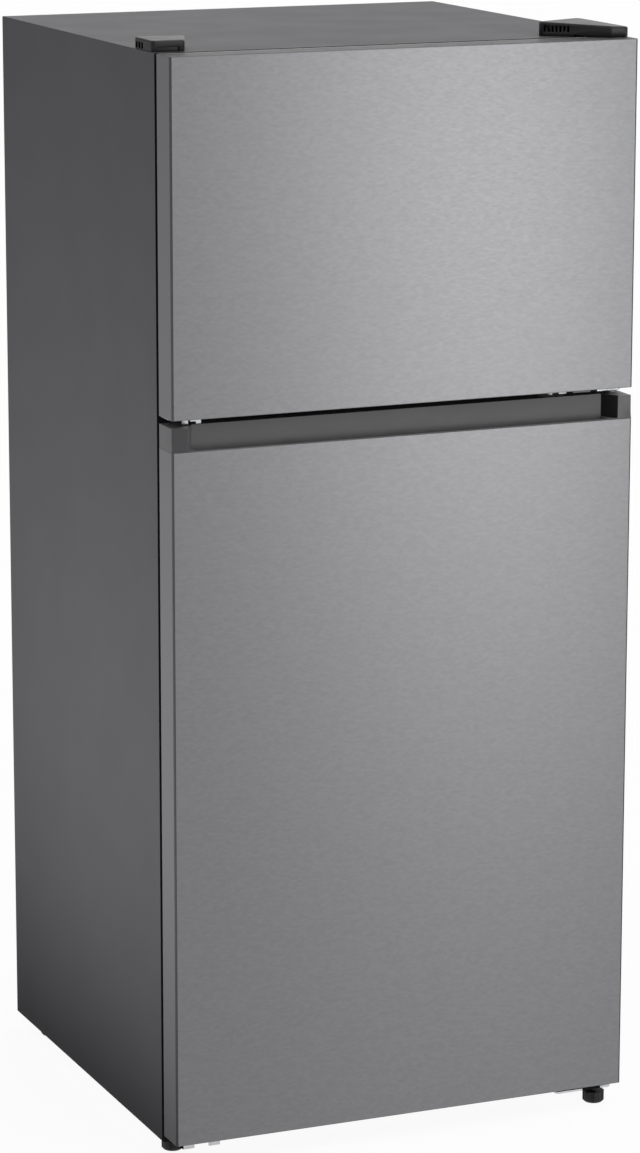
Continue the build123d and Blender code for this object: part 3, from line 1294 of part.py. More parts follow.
def pieces():
    """Every node of the refrigerator by name."""
    return {
        "left_side_panel": side_panel(-1),
        "right_side_panel": side_panel(1),
        "top_panel": top_panel(),
        "rear_panel": rear_panel(),
        "base_panel": base_panel(),
        "insulation_foam": insulation_foam(),
        "freezer_liner": freezer_liner(),
        "fridge_liner": fridge_liner(),
        "center_rail": center_rail(),
        "top_hinge_bracket": top_hinge_bracket(),
        "middle_hinge_bracket": middle_hinge_bracket(),
        "bottom_hinge_bracket": bottom_hinge_bracket(),
        "left_foot_bracket": left_foot_bracket(),
        "hinge_pins": hinge_pins(),
        "screws": screws(),
        "top_hinge_cover": top_hinge_cover(),
        "top_left_cover": top_left_cover(),
        "freezer_door_skin": door_skin(FREEZER_DOOR),
        "freezer_door_liner": door_liner(FREEZER_DOOR),
        "freezer_door_foam": door_foam(FREEZER_DOOR),
        "freezer_door_gasket": door_gasket(FREEZER_DOOR),
        "freezer_door_end_caps": freezer_door_end_caps(),
        "freezer_door_bins": door_bins(FREEZER_DOOR),
        "freezer_door_bushes": door_bushes(FREEZER_DOOR),
        "freezer_door_stops": freezer_door_stops(),
        "fridge_door_skin": door_skin(FRIDGE_DOOR),
        "fridge_door_liner": door_liner(FRIDGE_DOOR),
        "fridge_door_foam": fridge_door_foam(),
        "fridge_door_gasket": door_gasket(FRIDGE_DOOR),
        "fridge_handle_trim": fridge_handle_trim(),
        "fridge_door_bottom_cap": fridge_door_bottom_cap(),
        "fridge_door_bins": door_bins(FRIDGE_DOOR),
        "fridge_door_bushes": door_bushes(FRIDGE_DOOR),
        "shelf_glass": shelf_glass(),
        "shelf_trims": shelf_trims(),
        "left_crisper": crisper(-1),
        "right_crisper": crisper(1),
        "control_housing": control_housing(),
        "lamp_lens": lens_box(0),
        "temperature_dial": temperature_dial(),
        "light_switch_button": light_switch_button(),
        "freezer_back_cover": freezer_back_cover(),
        "freezer_shelf": freezer_shelf(),
        "evaporator": evaporator(),
        "evaporator_fan": EVAPORATOR_FAN_PLANE * fan(FAN_RADIUS),
        "condenser_fan": MACHINE_FAN_PLANE * fan(MACHINE_FAN_RADIUS),
        "fan_motors": fan_motors(),
        "compressor_base": compressor_base(),
        "compressor": compressor(),
        "compressor_grommets": compressor_grommets(),
        "condenser_coil": condenser_coil(),
        "refrigerant_lines": refrigerant_lines(),
        "drain_pan": drain_pan(),
        "rear_cover": rear_cover(),
        "cord_gland": cord_gland(),
        "left_foot": foot(FOOT_INSET - HALF, Y_FRONT + LEFT_FOOT_SETBACK, Z_CASE),
        "right_foot": foot(HALF - FOOT_INSET, Y_FRONT + RIGHT_FOOT_SETBACK, Z_CASE + RIGHT_STUD_RISE),
        "left_roller": roller(-1),
        "right_roller": roller(1),
        "roller_brackets": roller_brackets(),
    }


def main():
    os.makedirs("parts", exist_ok=True)
    for name, shape in pieces().items():
        solids = shape if isinstance(shape, list) else [shape]
        node = Compound(children=solids) if len(solids) > 1 else solids[0]
        export_step(node, f"parts/{name}.step")


if __name__ == "__main__":
    main()
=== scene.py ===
"""Dresses a two-door refrigerator, freezer above and fresh food below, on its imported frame.

Metres: +X to the right, -Y to the front, +Z up. The refrigerator stands on z = 0.
"""

import json
import logging
import math
from collections.abc import Callable, Iterable, Sequence
from dataclasses import dataclass, field
from enum import Enum
from functools import cache

import bmesh
import bpy
from mathutils import Matrix, Vector


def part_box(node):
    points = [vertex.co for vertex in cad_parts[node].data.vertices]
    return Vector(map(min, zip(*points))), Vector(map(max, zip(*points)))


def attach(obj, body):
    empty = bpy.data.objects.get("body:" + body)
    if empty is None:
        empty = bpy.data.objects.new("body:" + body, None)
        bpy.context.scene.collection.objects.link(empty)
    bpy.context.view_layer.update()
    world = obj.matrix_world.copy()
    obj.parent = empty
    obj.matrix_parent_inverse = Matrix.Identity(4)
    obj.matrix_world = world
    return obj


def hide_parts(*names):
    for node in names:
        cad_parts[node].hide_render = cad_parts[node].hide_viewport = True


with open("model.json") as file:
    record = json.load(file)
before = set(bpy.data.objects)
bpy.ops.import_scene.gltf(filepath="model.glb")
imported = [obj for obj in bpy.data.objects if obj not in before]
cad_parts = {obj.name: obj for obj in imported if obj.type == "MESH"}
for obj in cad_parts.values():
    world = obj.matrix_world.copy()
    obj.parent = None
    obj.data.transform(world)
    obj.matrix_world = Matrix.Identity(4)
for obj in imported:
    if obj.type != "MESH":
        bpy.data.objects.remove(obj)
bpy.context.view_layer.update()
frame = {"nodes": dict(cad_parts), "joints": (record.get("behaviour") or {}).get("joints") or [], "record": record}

MM = 0.001
LOG = logging.getLogger("refrigerator")
Piece = bpy.types.Object
Socket = bpy.types.NodeSocket
Color = tuple[float, float, float]
Point = tuple[float, float, float]
Span = tuple[float, float]
Profile = Sequence[tuple[float, float]]
Path = Sequence[tuple[Vector, Vector]]


class Body(Enum):
    """The moving bodies of the frame."""

    CABINET = "cabinet"
    FREEZER_DOOR = "freezer_door"
    FRIDGE_DOOR = "fridge_door"
    LEFT_CRISPER = "left_crisper"
    RIGHT_CRISPER = "right_crisper"
    DIAL = "temperature_dial"
    BUTTON = "light_switch_button"
    EVAPORATOR_FAN = "evaporator_fan"
    CONDENSER_FAN = "condenser_fan"
    LEFT_FOOT = "left_foot"
    RIGHT_FOOT = "right_foot"
    LEFT_ROLLER = "left_roller"
    RIGHT_ROLLER = "right_roller"


class Compartment(Enum):
    """What a door closes."""

    FREEZER = "freezer"
    FRIDGE = "fridge"


class Axis(Enum):
    """A direction that something turns or lies along."""

    X = (1.0, 0.0, 0.0)
    Y = (0.0, 1.0, 0.0)
    Z = (0.0, 0.0, 1.0)


Cut = tuple[Axis, float]


# Finishes


class Graph:
    """A node tree under construction."""

    def __init__(self, tree: bpy.types.NodeTree) -> None:
        """Takes the tree that gets the nodes."""
        self.tree = tree

    def put(self, socket: Socket, value: object) -> None:
        """Links a socket to another one, or sets its constant.

        Args:
            socket: the socket.
            value: the other socket, or the constant.
        """
        if isinstance(value, Socket):
            self.tree.links.new(value, socket)
        else:
            socket.default_value = value

    def add(self, kind: str, inputs: dict[str | int, object], **settings: str) -> bpy.types.Node:
        """Adds a node.

        Args:
            kind: the node's type.
            inputs: what its sockets get.
            settings: its properties.

        Returns:
            The node.
        """
        made = self.tree.nodes.new(kind)
        for name, value in settings.items():
            setattr(made, name, value)
        for socket, value in inputs.items():
            self.put(made.inputs[socket], value)
        return made


class Surface(Graph):
    """A material under construction: one Principled shader and the nodes that feed it."""

    def __init__(self, name: str, constants: dict[str, object]) -> None:
        """Starts a material.

        Args:
            name: the material's name.
            constants: values for the shader's own sockets.
        """
        self.material = bpy.data.materials.new(name)
        self.material.use_nodes = True
        super().__init__(self.material.node_tree)
        self.shader = self.tree.nodes["Principled BSDF"]
        for socket, value in constants.items():
            self.feed(socket, value)

    def feed(self, socket: str, value: object) -> None:
        """Gives one of the shader's sockets a pattern or a constant."""
        self.put(self.shader.inputs[socket], value)

    def coords(self, scale: Point) -> Socket:
        """Object coordinates, with so many cells per metre along each axis."""
        source = self.add("ShaderNodeTexCoord", {}).outputs["Object"]
        return self.add("ShaderNodeMapping", {"Vector": source, "Scale": scale}).outputs["Vector"]

    def noise(self, scale: Point, detail: float = 2.0) -> Socket:
        """Soft noise, mostly from 0.3 to 0.7, with so many octaves of detail."""
        inputs = {"Vector": self.coords(scale), "Scale": 1.0, "Detail": detail}
        return self.add("ShaderNodeTexNoise", inputs).outputs[0]

    def cells(self, scale: Point) -> Socket:
        """Flat cells, each with its own shade from 0 to 1."""
        shades = self.add("ShaderNodeTexVoronoi", {"Vector": self.coords(scale), "Scale": 1.0})
        return self.add("ShaderNodeSeparateColor", {"Color": shades.outputs["Color"]}).outputs["Red"]

    def spread(self, value: Socket, result: Span, pattern: Span = (0.3, 0.7)) -> Socket:
        """Spreads a pattern, from its dark to its light end, over a range of results."""
        ends = dict(zip(("From Min", "From Max", "To Min", "To Max"), (*pattern, *result)))
        return self.add("ShaderNodeMapRange", {"Value": value, **ends}).outputs["Result"]

    def tint(self, value: Socket, color: Color, contrast: float) -> None:
        """Varies the base colour with a pattern.

        Args:
            value: the pattern, mostly 0.3 to 0.7.
            color: the middle colour.
            contrast: how far the dark and light ends are from it, as a share.
        """
        ramp = self.add("ShaderNodeValToRGB", {"Fac": value})
        low, high = ramp.color_ramp.elements
        for stop, place, share in ((low, 0.3, 1 - contrast), (high, 0.7, 1 + contrast)):
            stop.position = place
            stop.color = (*(min(c * share, 1.0) for c in color), 1.0)
        self.feed("Base Color", ramp.outputs["Color"])

    def relief(self, height: Socket, depth: float, strength: float) -> None:
        """Adds relief of the given depth in metres, of which a share shows."""
        bump = self.add("ShaderNodeBump", {"Height": height, "Distance": depth, "Strength": strength})
        self.feed("Normal", bump.outputs["Normal"])


@dataclass(frozen=True)
class Finish:
    """A finish of the refrigerator. Its kinds say how the material is made.

    Attributes:
        name: the material's name.
        color: linear base colour.
        roughness: the middle roughness.
    """

    name: str
    color: Color
    roughness: float

    @cache
    def material(self) -> bpy.types.Material:
        """The material of this finish, made the first time it is asked for."""
        return self.make().material

    def make(self) -> Surface:
        """Builds the material's nodes."""
        raise NotImplementedError

    def around(self, by: float) -> Span:
        """A range of roughness round the middle one."""
        return (self.roughness - by, self.roughness + by)

    def start(self, **more: object) -> Surface:
        """A surface with this finish's colour and roughness.

        Args:
            more: shader sockets, with underscores for the spaces in their names.

        Returns:
            The started surface.
        """
        constants = {key.replace("_", " "): value for key, value in more.items()}
        rgba = (*self.color, 1.0)
        return Surface(self.name, {"Base Color": rgba, "Roughness": self.roughness, **constants})


@dataclass(frozen=True)
class BrushedSteel(Finish):
    """Stainless sheet with a fine brushed grain along X.

    Attributes:
        contrast: how strongly the grain shows.
        stretch: how far highlights spread across the grain.
    """

    contrast: float = 0.05
    stretch: float = 0.85

    def make(self) -> Surface:
        """Builds streaks of colour, finer ones of gloss and relief, and a tangent across the grain.

        Returns:
            The finished surface.
        """
        surface = self.start(Metallic=1.0, Anisotropic=self.stretch)
        surface.tint(surface.noise((110.0, 110.0, 280.0), 3.0), self.color, self.contrast)
        hairs = surface.noise((90.0, 90.0, 2400.0))
        surface.feed("Roughness", surface.spread(hairs, self.around(0.03)))
        surface.relief(hairs, 0.02 * MM, 0.25)
        tangent = surface.add("ShaderNodeTangent", {}, direction_type="UV_MAP", uv_map="grain")
        surface.feed("Tangent", tangent.outputs["Tangent"])
        return surface


@dataclass(frozen=True)
class Paint(Finish):
    """Sprayed or baked paint with the faint waviness of orange peel.

    Attributes:
        peel: height of the waviness in metres.
        specular: the shader's specular level.
    """

    peel: float = 0.01 * MM
    specular: float = 0.5

    def make(self) -> Surface:
        """Builds peel, a faint cloud of colour and uneven gloss.

        Returns:
            The finished surface.
        """
        surface = self.start(Specular_IOR_Level=self.specular)
        cloud = surface.noise((9.0,) * 3, 3.0)
        surface.tint(cloud, self.color, 0.025)
        surface.feed("Roughness", surface.spread(cloud, self.around(0.03)))
        surface.relief(surface.noise((450.0,) * 3), self.peel, 0.35)
        return surface


@dataclass(frozen=True)
class Moulding(Finish):
    """Moulded plastic or rubber with a fine texture from its mould.

    Attributes:
        texture: cells of the texture per metre.
        depth: height of the texture in metres.
        contrast: how much its colour varies.
        specular: the shader's specular level.
    """

    texture: float = 1400.0
    depth: float = 0.03 * MM
    contrast: float = 0.06
    specular: float = 0.5

    def make(self) -> Surface:
        """Builds the mould's texture, with slightly uneven colour and gloss.

        Returns:
            The finished surface.
        """
        surface = self.start(Specular_IOR_Level=self.specular)
        cloud = surface.noise((30.0,) * 3, 3.0)
        surface.tint(cloud, self.color, self.contrast)
        surface.feed("Roughness", surface.spread(cloud, self.around(0.04)))
        surface.relief(surface.noise((self.texture,) * 3), self.depth, 0.4)
        return surface


@dataclass(frozen=True)
class ClearPlastic(Finish):
    """Clear moulded plastic or glass.

    Attributes:
        clearness: share of the light that goes through.
        index: refractive index.
        ripple: height of its faint unevenness in metres.
    """

    clearness: float = 0.92
    index: float = 1.49
    ripple: float = 0.02 * MM

    def make(self) -> Surface:
        """Builds a clear body whose surface ripples slightly.

        Returns:
            The finished surface.
        """
        surface = self.start(Transmission_Weight=self.clearness, IOR=self.index)
        ripple = surface.noise((120.0,) * 3)
        surface.feed("Roughness", surface.spread(ripple, (self.roughness, self.roughness + 0.04)))
        surface.tint(surface.noise((25.0,) * 3, 1.0), self.color, 0.02)
        surface.relief(ripple, self.ripple, 0.3)
        return surface


@dataclass(frozen=True)
class Metal(Finish):
    """Plated, drawn or galvanised metal.

    Attributes:
        spangle: crystals per metre.
        contrast: how much the crystals differ.
    """

    spangle: float = 300.0
    contrast: float = 0.08

    def make(self) -> Surface:
        """Builds crystals that differ in shade and gloss, with fine scuffs.

        Returns:
            The finished surface.
        """
        surface = self.start(Metallic=1.0)
        crystals = surface.cells((self.spangle,) * 3)
        surface.tint(surface.spread(crystals, (0.3, 0.7), (0.0, 1.0)), self.color, self.contrast)
        surface.feed("Roughness", surface.spread(crystals, self.around(0.06), (0.0, 1.0)))
        surface.relief(surface.noise((900.0,) * 3), 0.02 * MM, 0.3)
        return surface


STEEL = BrushedSteel("brushed_stainless", (0.150, 0.150, 0.155), 0.36, contrast=0.055, stretch=0.78)
# Painted shade: a darker paint on the door's folds and on the upper edge of its front.
FOLD_SHADE = Paint("door_fold", (0.085, 0.084, 0.089), 0.45, specular=0.04)
DOOR_SIDE = Paint("door_side_grey", (0.145, 0.143, 0.151), 0.45, specular=0.02)
CASE_PAINT = Paint("case_charcoal", (0.095, 0.094, 0.100), 0.45, specular=0.0)
CASE_TOP = Paint("case_top_charcoal", (0.095, 0.094, 0.100), 0.45, specular=0.05)
# Painted shade: black put on the case's front flanges and on parts of the hinge brackets that lie in shade.
SHADE_BLACK = Moulding("deep_black", (0.006, 0.006, 0.006), 0.6, specular=0.1)
# Painted shade: a darker copy of the trim's plastic on the outside of its free end.
TRIM_END_SHADE = Moulding("trim_end_charcoal", (0.062, 0.0615, 0.065), 0.42, specular=0.2)
LEFT_COVER = Moulding("left_cover_charcoal", (0.022, 0.022, 0.0225), 0.38, specular=0.3)
LEFT_COVER_SIDE = Moulding("left_cover_side", (0.022, 0.022, 0.0225), 0.6, specular=0.1)
# Painted shade: near black on the end wall of the trim's finger recess.
RECESS_SHADE = Moulding("recess_end_black", (0.013, 0.013, 0.013), 0.5, specular=0.1)
# Painted shade on the middle hinge bracket: a lightly shaded and a darker shaded copy of the zinc plate.
ZINC_HALF_SHADE = Metal("satin_zinc", (0.44, 0.44, 0.445), 0.5, 260.0, 0.07)
ZINC_SHADE = Metal("dull_zinc", (0.12, 0.12, 0.122), 0.5, 260.0, 0.07)

FINISHES: dict[str, Finish] = {
    "case_paint": CASE_PAINT,
    "galvanised_steel": Metal("galvanised_sheet", (0.46, 0.47, 0.48), 0.52, 110.0, 0.10),
    "stainless_steel": STEEL,
    "handle_plastic": Moulding("handle_charcoal", (0.115, 0.115, 0.116), 0.42, specular=0.35),
    "cover_plastic": Moulding("cover_black", (0.006, 0.006, 0.0065), 0.38, specular=0.3),
    "cap_plastic": Moulding("cap_grey", (0.075, 0.075, 0.077), 0.45, specular=0.2),
    "foam": Moulding("insulation_foam", (0.80, 0.72, 0.46), 0.9, 260.0, 0.4 * MM, 0.12),
    "white_liner": Moulding("liner_white", (0.80, 0.81, 0.80), 0.34, 40.0, 0.02 * MM, 0.015),
    "gasket_vinyl": Moulding("gasket_black", (0.012, 0.012, 0.013), 0.60, specular=0.2),
    "clear_plastic": ClearPlastic("clear_tray", (0.90, 0.94, 0.95), 0.06),
    "shelf_glass": ClearPlastic("tempered_glass", (0.88, 0.95, 0.93), 0.01, 0.98, 1.52, 0.002 * MM),
    "white_wire": Paint("white_wire_coat", (0.80, 0.80, 0.79), 0.35, 0.03 * MM),
    "dial_plastic": Moulding("dial_grey", (0.30, 0.32, 0.34), 0.40),
    "lamp_lens": ClearPlastic("frosted_lens", (0.95, 0.95, 0.92), 0.35, 0.7, 1.49, 0.05 * MM),
    "black_enamel": Paint("shell_enamel", (0.014, 0.014, 0.015), 0.32, 0.03 * MM),
    "copper": Metal("copper_tube", (0.80, 0.43, 0.27), 0.36, 220.0, 0.12),
    "aluminium": Metal("aluminium_fin", (0.82, 0.83, 0.84), 0.34, 500.0, 0.05),
    "black_rubber": Moulding("grommet_rubber", (0.022, 0.022, 0.022), 0.75, 900.0),
    "black_plastic": Moulding("moulded_black", (0.009, 0.009, 0.0095), 0.50, specular=0.3),
    "nylon": Moulding("natural_nylon", (0.72, 0.71, 0.67), 0.42),
    "zinc_steel": Metal("zinc_plate", (0.52, 0.53, 0.54), 0.42, 260.0, 0.07),
}

SLOTS: dict[str, str] = {part["node"]: part["material_slot"] for part in frame["record"]["subparts"]}
BODIES: dict[str, Body] = {
    node: Body(body) for body, nodes in frame["record"]["behaviour"]["bodies"].items() for node in nodes
}


def joint_anchor(body: str) -> Vector:
    """The point that a body's joint turns about."""
    return Vector(next(joint["pos_m"] for joint in frame["joints"] if joint["child"] == body))


# Mesh work

MERGE_DISTANCE = 0.002 * MM
FLAT_ANGLE = math.radians(0.4)
SHARP_ANGLE = math.radians(38)
SAME_WAY = 0.94


def placed(name: str, data: bpy.types.ID) -> Piece:
    """Puts a new object into the scene, at the origin.

    Args:
        name: the object's name.
        data: its mesh, curve, lamp or camera.

    Returns:
        The object.
    """
    made = bpy.data.objects.new(name, data)
    bpy.context.scene.collection.objects.link(made)
    return made


def made_object(name: str, shape: bmesh.types.BMesh) -> Piece:
    """Turns a bmesh into an object at the origin.

    Args:
        name: the object's name.
        shape: its mesh, which is freed.

    Returns:
        The object.
    """
    mesh = bpy.data.meshes.new(name)
    shape.to_mesh(mesh)
    shape.free()
    return placed(name, mesh)


def plain(shape: Piece) -> Piece:
    """Turns what an object's modifiers give into its own plain mesh.

    Args:
        shape: the object.

    Returns:
        The same object.
    """
    graph = bpy.context.evaluated_depsgraph_get()
    mesh = bpy.data.meshes.new_from_object(shape.evaluated_get(graph))
    shape.modifiers.clear()
    old = shape.data
    shape.data = mesh
    bpy.data.meshes.remove(old)
    mesh.name = shape.name
    return shape


def smooth(shape: Piece, angle: float = 32.0) -> Piece:
    """Shades an object smooth, apart from edges sharper than an angle in degrees.

    Args:
        shape: the object.
        angle: the angle.

    Returns:
        The same object.
    """
    shape.data.shade_smooth()
    shape.data.set_sharp_from_angle(angle=math.radians(angle))
    return shape


def flat_faces(shape: Piece, least: float) -> Piece:
    """Shades an object's large faces flat, so that they keep their own normals beside its roundings.

    Args:
        shape: the object.
        least: the least area of such a face, in square metres.

    Returns:
        The same object.
    """
    for face in shape.data.polygons:
        face.use_smooth = face.area < least
    return shape


def merged(node: str, cuts: Sequence[Cut] = ()) -> bmesh.types.BMesh:
    """A copy of a CAD node's mesh with its triangles joined into flat faces.

    Args:
        node: the CAD node.
        cuts: planes across an axis where faces are divided, so that each side can have its own finish.

    Returns:
        The joined mesh.
    """
    shape = bmesh.new()
    shape.from_mesh(frame["nodes"][node].data)
    bmesh.ops.remove_doubles(shape, verts=shape.verts, dist=MERGE_DISTANCE)
    geometry = {"verts": shape.verts, "edges": shape.edges}
    bmesh.ops.dissolve_limit(shape, angle_limit=FLAT_ANGLE, delimit={"NORMAL"}, **geometry)
    for axis, place in cuts:
        across = Vector(axis.value)
        whole = [*shape.verts, *shape.edges, *shape.faces]
        bmesh.ops.bisect_plane(shape, geom=whole, plane_co=across * place, plane_no=across)
    return shape


def level(shape: Piece, least: float = 8.0 * MM) -> Piece:
    """Gives the broad flat faces of an object their own normals, up to where its roundings start.

    Args:
        shape: the object, shaded smooth.
        least: the least width of a broad face.

    Returns:
        The same object.
    """
    mesh = shape.data
    broad = []
    at: dict[int, Vector] = {}
    mixed: set[int] = set()
    for face in mesh.polygons:
        around = sum((mesh.vertices[a].co - mesh.vertices[b].co).length for a, b in face.edge_keys)
        if 2 * face.area < least * around:
            continue
        broad.append(face.index)
        for vertex in face.vertices:
            if at.setdefault(vertex, face.normal.copy()).dot(face.normal) < SAME_WAY:
                mixed.add(vertex)
    normals = [corner.vector.copy() for corner in mesh.corner_normals]
    for loop in mesh.loops:
        if loop.vertex_index in at and loop.vertex_index not in mixed:
            normals[loop.index] = at[loop.vertex_index]
    for index in broad:
        for corner in mesh.polygons[index].loop_indices:
            normals[corner] = mesh.polygons[index].normal.copy()
    mesh.normals_split_custom_set(normals)
    return shape


def bevelled(shape: Piece, width: float) -> Piece:
    """Rounds the sharp edges of an object.

    Args:
        shape: the object.
        width: the rounding's width in metres.

    Returns:
        The same object, a plain mesh.
    """
    bevel = shape.modifiers.new("edges", "BEVEL")
    bevel.width = width
    bevel.segments = 2
    bevel.limit_method = "ANGLE"
    bevel.angle_limit = SHARP_ANGLE
    shape.data.shade_smooth()
    return level(plain(shape))


def bridge(shape: bmesh.types.BMesh, rows: Sequence[Sequence], around: bool) -> list[bmesh.types.BMFace]:
    """Makes faces between rows of a mesh's points.

    Args:
        shape: the mesh.
        rows: the rows, of one length, or of one point at a pole.
        around: whether each row closes on itself.

    Returns:
        The faces, row by row.
    """
    made = []
    for near, far in zip(rows, rows[1:]):
        count = max(len(near), len(far))
        for k in range(count if around else count - 1):
            corners = [row[j % len(row)] for row, j in ((near, k), (near, k + 1), (far, k + 1), (far, k))]
            made.append(shape.faces.new(list(dict.fromkeys(corners))))
    return made


def turned(way: Vector) -> Matrix:
    """A turn that points +Z the given way."""
    return Vector((0, 0, 1)).rotation_difference(way).to_matrix().to_4x4()


def lathe(name: str, profile: Profile, steps: int, axis: Axis, centre: Point, bored: bool = False) -> Piece:
    """Turns a profile round an axis.

    Args:
        name: the object's name.
        profile: (radius, distance along the axis) from one pole to the other, or round a bored section.
        steps: faces round the axis.
        axis: the axis.
        centre: where the axis starts.
        bored: whether the profile closes on itself round a bore.

    Returns:
        The closed turned object.
    """
    shape = bmesh.new()
    place = Matrix.Translation(centre) @ turned(Vector(axis.value))
    rings = []
    for radius, along in profile:
        angles = [math.tau * k / steps for k in range(steps if radius > 0 else 1)]
        points = [(radius * math.cos(angle), radius * math.sin(angle), along) for angle in angles]
        rings.append([shape.verts.new(place @ Vector(point)) for point in points])
    if bored:
        rings.append(rings[0])
    bridge(shape, rings, around=True)
    bmesh.ops.recalc_face_normals(shape, faces=shape.faces)
    return smooth(made_object(name, shape))


def sweep(shape: bmesh.types.BMesh, path: Path, profile: Profile, axis: Axis, ring: bool) -> None:
    """Sweeps a closed section along a path, into a mesh.

    Args:
        shape: the mesh that gets the faces.
        path: points, each with the way outwards there.
        profile: (outwards, along the axis) round the section.
        axis: the section's second direction.
        ring: whether the path closes on itself. Otherwise both ends are capped.
    """
    up = Vector(axis.value)
    rings = [[shape.verts.new(at + out * o + up * u) for o, u in profile] for at, out in path]
    made = [] if ring else [shape.faces.new(rings[0]), shape.faces.new(rings[-1])]
    if ring:
        rings.append(rings[0])
    made += bridge(shape, rings, around=True)
    bmesh.ops.recalc_face_normals(shape, faces=made)


def loose_parts(node: str) -> list[list[Vector]]:
    """The separate solids of a CAD node.

    Args:
        node: the CAD node.

    Returns:
        The corner points of each solid.
    """
    shape = merged(node)
    left = set(shape.verts)
    parts = []
    while left:
        found = [left.pop()]
        for vert in found:
            near = {edge.other_vert(vert) for edge in vert.link_edges} & left
            left -= near
            found.extend(near)
        parts.append([vert.co.copy() for vert in found])
    shape.free()
    return sorted(parts, key=lambda points: tuple(round(c, 5) for c in sum(points, Vector()) / len(points)))


def box_of(points: Sequence[Vector]) -> tuple[Vector, Vector]:
    """The lowest and highest corner of some points."""
    return Vector([min(c) for c in zip(*points)]), Vector([max(c) for c in zip(*points)])


def joined(name: str, shapes: Sequence[Piece]) -> Piece:
    """Joins objects without a material into one.

    Args:
        name: the new object's name.
        shapes: the objects, which are removed.

    Returns:
        The joined object.
    """
    whole = bmesh.new()
    for shape in shapes:
        whole.from_mesh(shape.data)
        bpy.data.objects.remove(shape)
    return made_object(name, whole)


def bar(name: str, low: Point, high: Point, rounding: float) -> Piece:
    """A bar with rounded edges.

    Args:
        name: the object's name.
        low: its lowest corner.
        high: its highest corner.
        rounding: width of the rounding.

    Returns:
        The bar.
    """
    shape = bmesh.new()
    size = Vector(high) - Vector(low)
    place = Matrix.Translation((Vector(low) + Vector(high)) / 2) @ Matrix.Diagonal((*size, 1.0))
    bmesh.ops.create_cube(shape, size=1.0, matrix=place)
    return bevelled(made_object(name, shape), rounding)


# Geometry Nodes


class Repeater(Graph):
    """A Geometry Nodes tree that repeats a mesh and ends in real geometry."""

    def __init__(self, name: str, **asks: str) -> None:
        """Starts a tree.

        Args:
            name: the tree's name.
            asks: its named inputs and their kinds, besides Shape.
        """
        super().__init__(bpy.data.node_groups.new(name, "GeometryNodeTree"))
        self.sockets: dict[str, str] = {}
        self.tree.interface.new_socket("Result", in_out="OUTPUT", socket_type="NodeSocketGeometry")
        for ask, kind in {"Shape": "Geometry", **asks}.items():
            made = self.tree.interface.new_socket(ask, in_out="INPUT", socket_type=f"NodeSocket{kind}")
            self.sockets[ask] = made.identifier
        self.entry = self.tree.nodes.new("NodeGroupInput")

    def given(self, ask: str) -> Socket:
        """The socket of one of the tree's inputs."""
        return self.entry.outputs[ask]

    def close(self, instances: Socket) -> "Repeater":
        """Ends the tree.

        Args:
            instances: what the tree has made.

        Returns:
            The finished tree.
        """
        real = self.add("GeometryNodeRealizeInstances", {"Geometry": instances})
        self.add("NodeGroupOutput", {"Result": real.outputs["Geometry"]})
        return self

    def apply(self, shape: Piece, **values: object) -> Piece:
        """Runs the tree on an object and keeps the result as its plain mesh.

        Args:
            shape: the object whose mesh goes in.
            values: the tree's named inputs.

        Returns:
            The same object, without a material.
        """
        modifier = shape.modifiers.new("repeat", "NODES")
        modifier.node_group = self.tree
        for name, value in values.items():
            modifier[self.sockets[name]] = value
        plain(shape)
        shape.data.materials.clear()
        return shape


def row_tree() -> Repeater:
    """A tree that repeats a shape in a straight row.

    Returns:
        A tree with the inputs Count and Step.
    """
    tree = Repeater("row", Count="Int", Step="Vector")
    inputs = {"Count": tree.given("Count"), "Offset": tree.given("Step")}
    line = tree.add("GeometryNodeMeshLine", inputs, mode="OFFSET").outputs["Mesh"]
    copies = tree.add("GeometryNodeInstanceOnPoints", {"Points": line, "Instance": tree.given("Shape")})
    return tree.close(copies.outputs["Instances"])


def ring_tree() -> Repeater:
    """A tree that repeats a shape evenly round an axis.

    Returns:
        A tree with the inputs Count, Axis and Centre.
    """
    tree = Repeater("ring", Count="Int", Axis="Vector", Centre="Vector")
    inputs = {"Count": tree.given("Count"), "Offset": (0.0, 0.0, 0.0)}
    line = tree.add("GeometryNodeMeshLine", inputs, mode="OFFSET").outputs["Mesh"]
    copies = tree.add("GeometryNodeInstanceOnPoints", {"Points": line, "Instance": tree.given("Shape")})
    index = tree.add("GeometryNodeInputIndex", {}).outputs["Index"]
    share = tree.add("ShaderNodeMath", {0: index, 1: tree.given("Count")}, operation="DIVIDE")
    angle = tree.add("ShaderNodeMath", {0: share.outputs["Value"], 1: math.tau}, operation="MULTIPLY")
    inputs = {"Axis": tree.given("Axis"), "Angle": angle.outputs["Value"]}
    about = tree.add("FunctionNodeAxisAngleToRotation", inputs)
    inputs = {
        "Instances": copies.outputs["Instances"],
        "Rotation": about.outputs["Rotation"],
        "Pivot Point": tree.given("Centre"),
        "Local Space": False,
    }
    return tree.close(tree.add("GeometryNodeRotateInstances", inputs).outputs["Instances"])


def scatter_tree() -> Repeater:
    """A tree that puts a copy of another object on each point of the mesh that it is given.

    Returns:
        A tree with the input Piece.
    """
    tree = Repeater("scatter", Piece="Object")
    info = tree.add("GeometryNodeObjectInfo", {"Object": tree.given("Piece")}, transform_space="ORIGINAL")
    inputs = {"Points": tree.given("Shape"), "Instance": info.outputs["Geometry"]}
    return tree.close(tree.add("GeometryNodeInstanceOnPoints", inputs).outputs["Instances"])


ROW = row_tree()
RING = ring_tree()
SCATTER = scatter_tree()


# Sub-assemblies

# A face looks a way squarely, mostly or partly when its normal goes at least this far along it.
SQUARELY = 0.9
MOSTLY = 0.6
PARTLY = 0.5


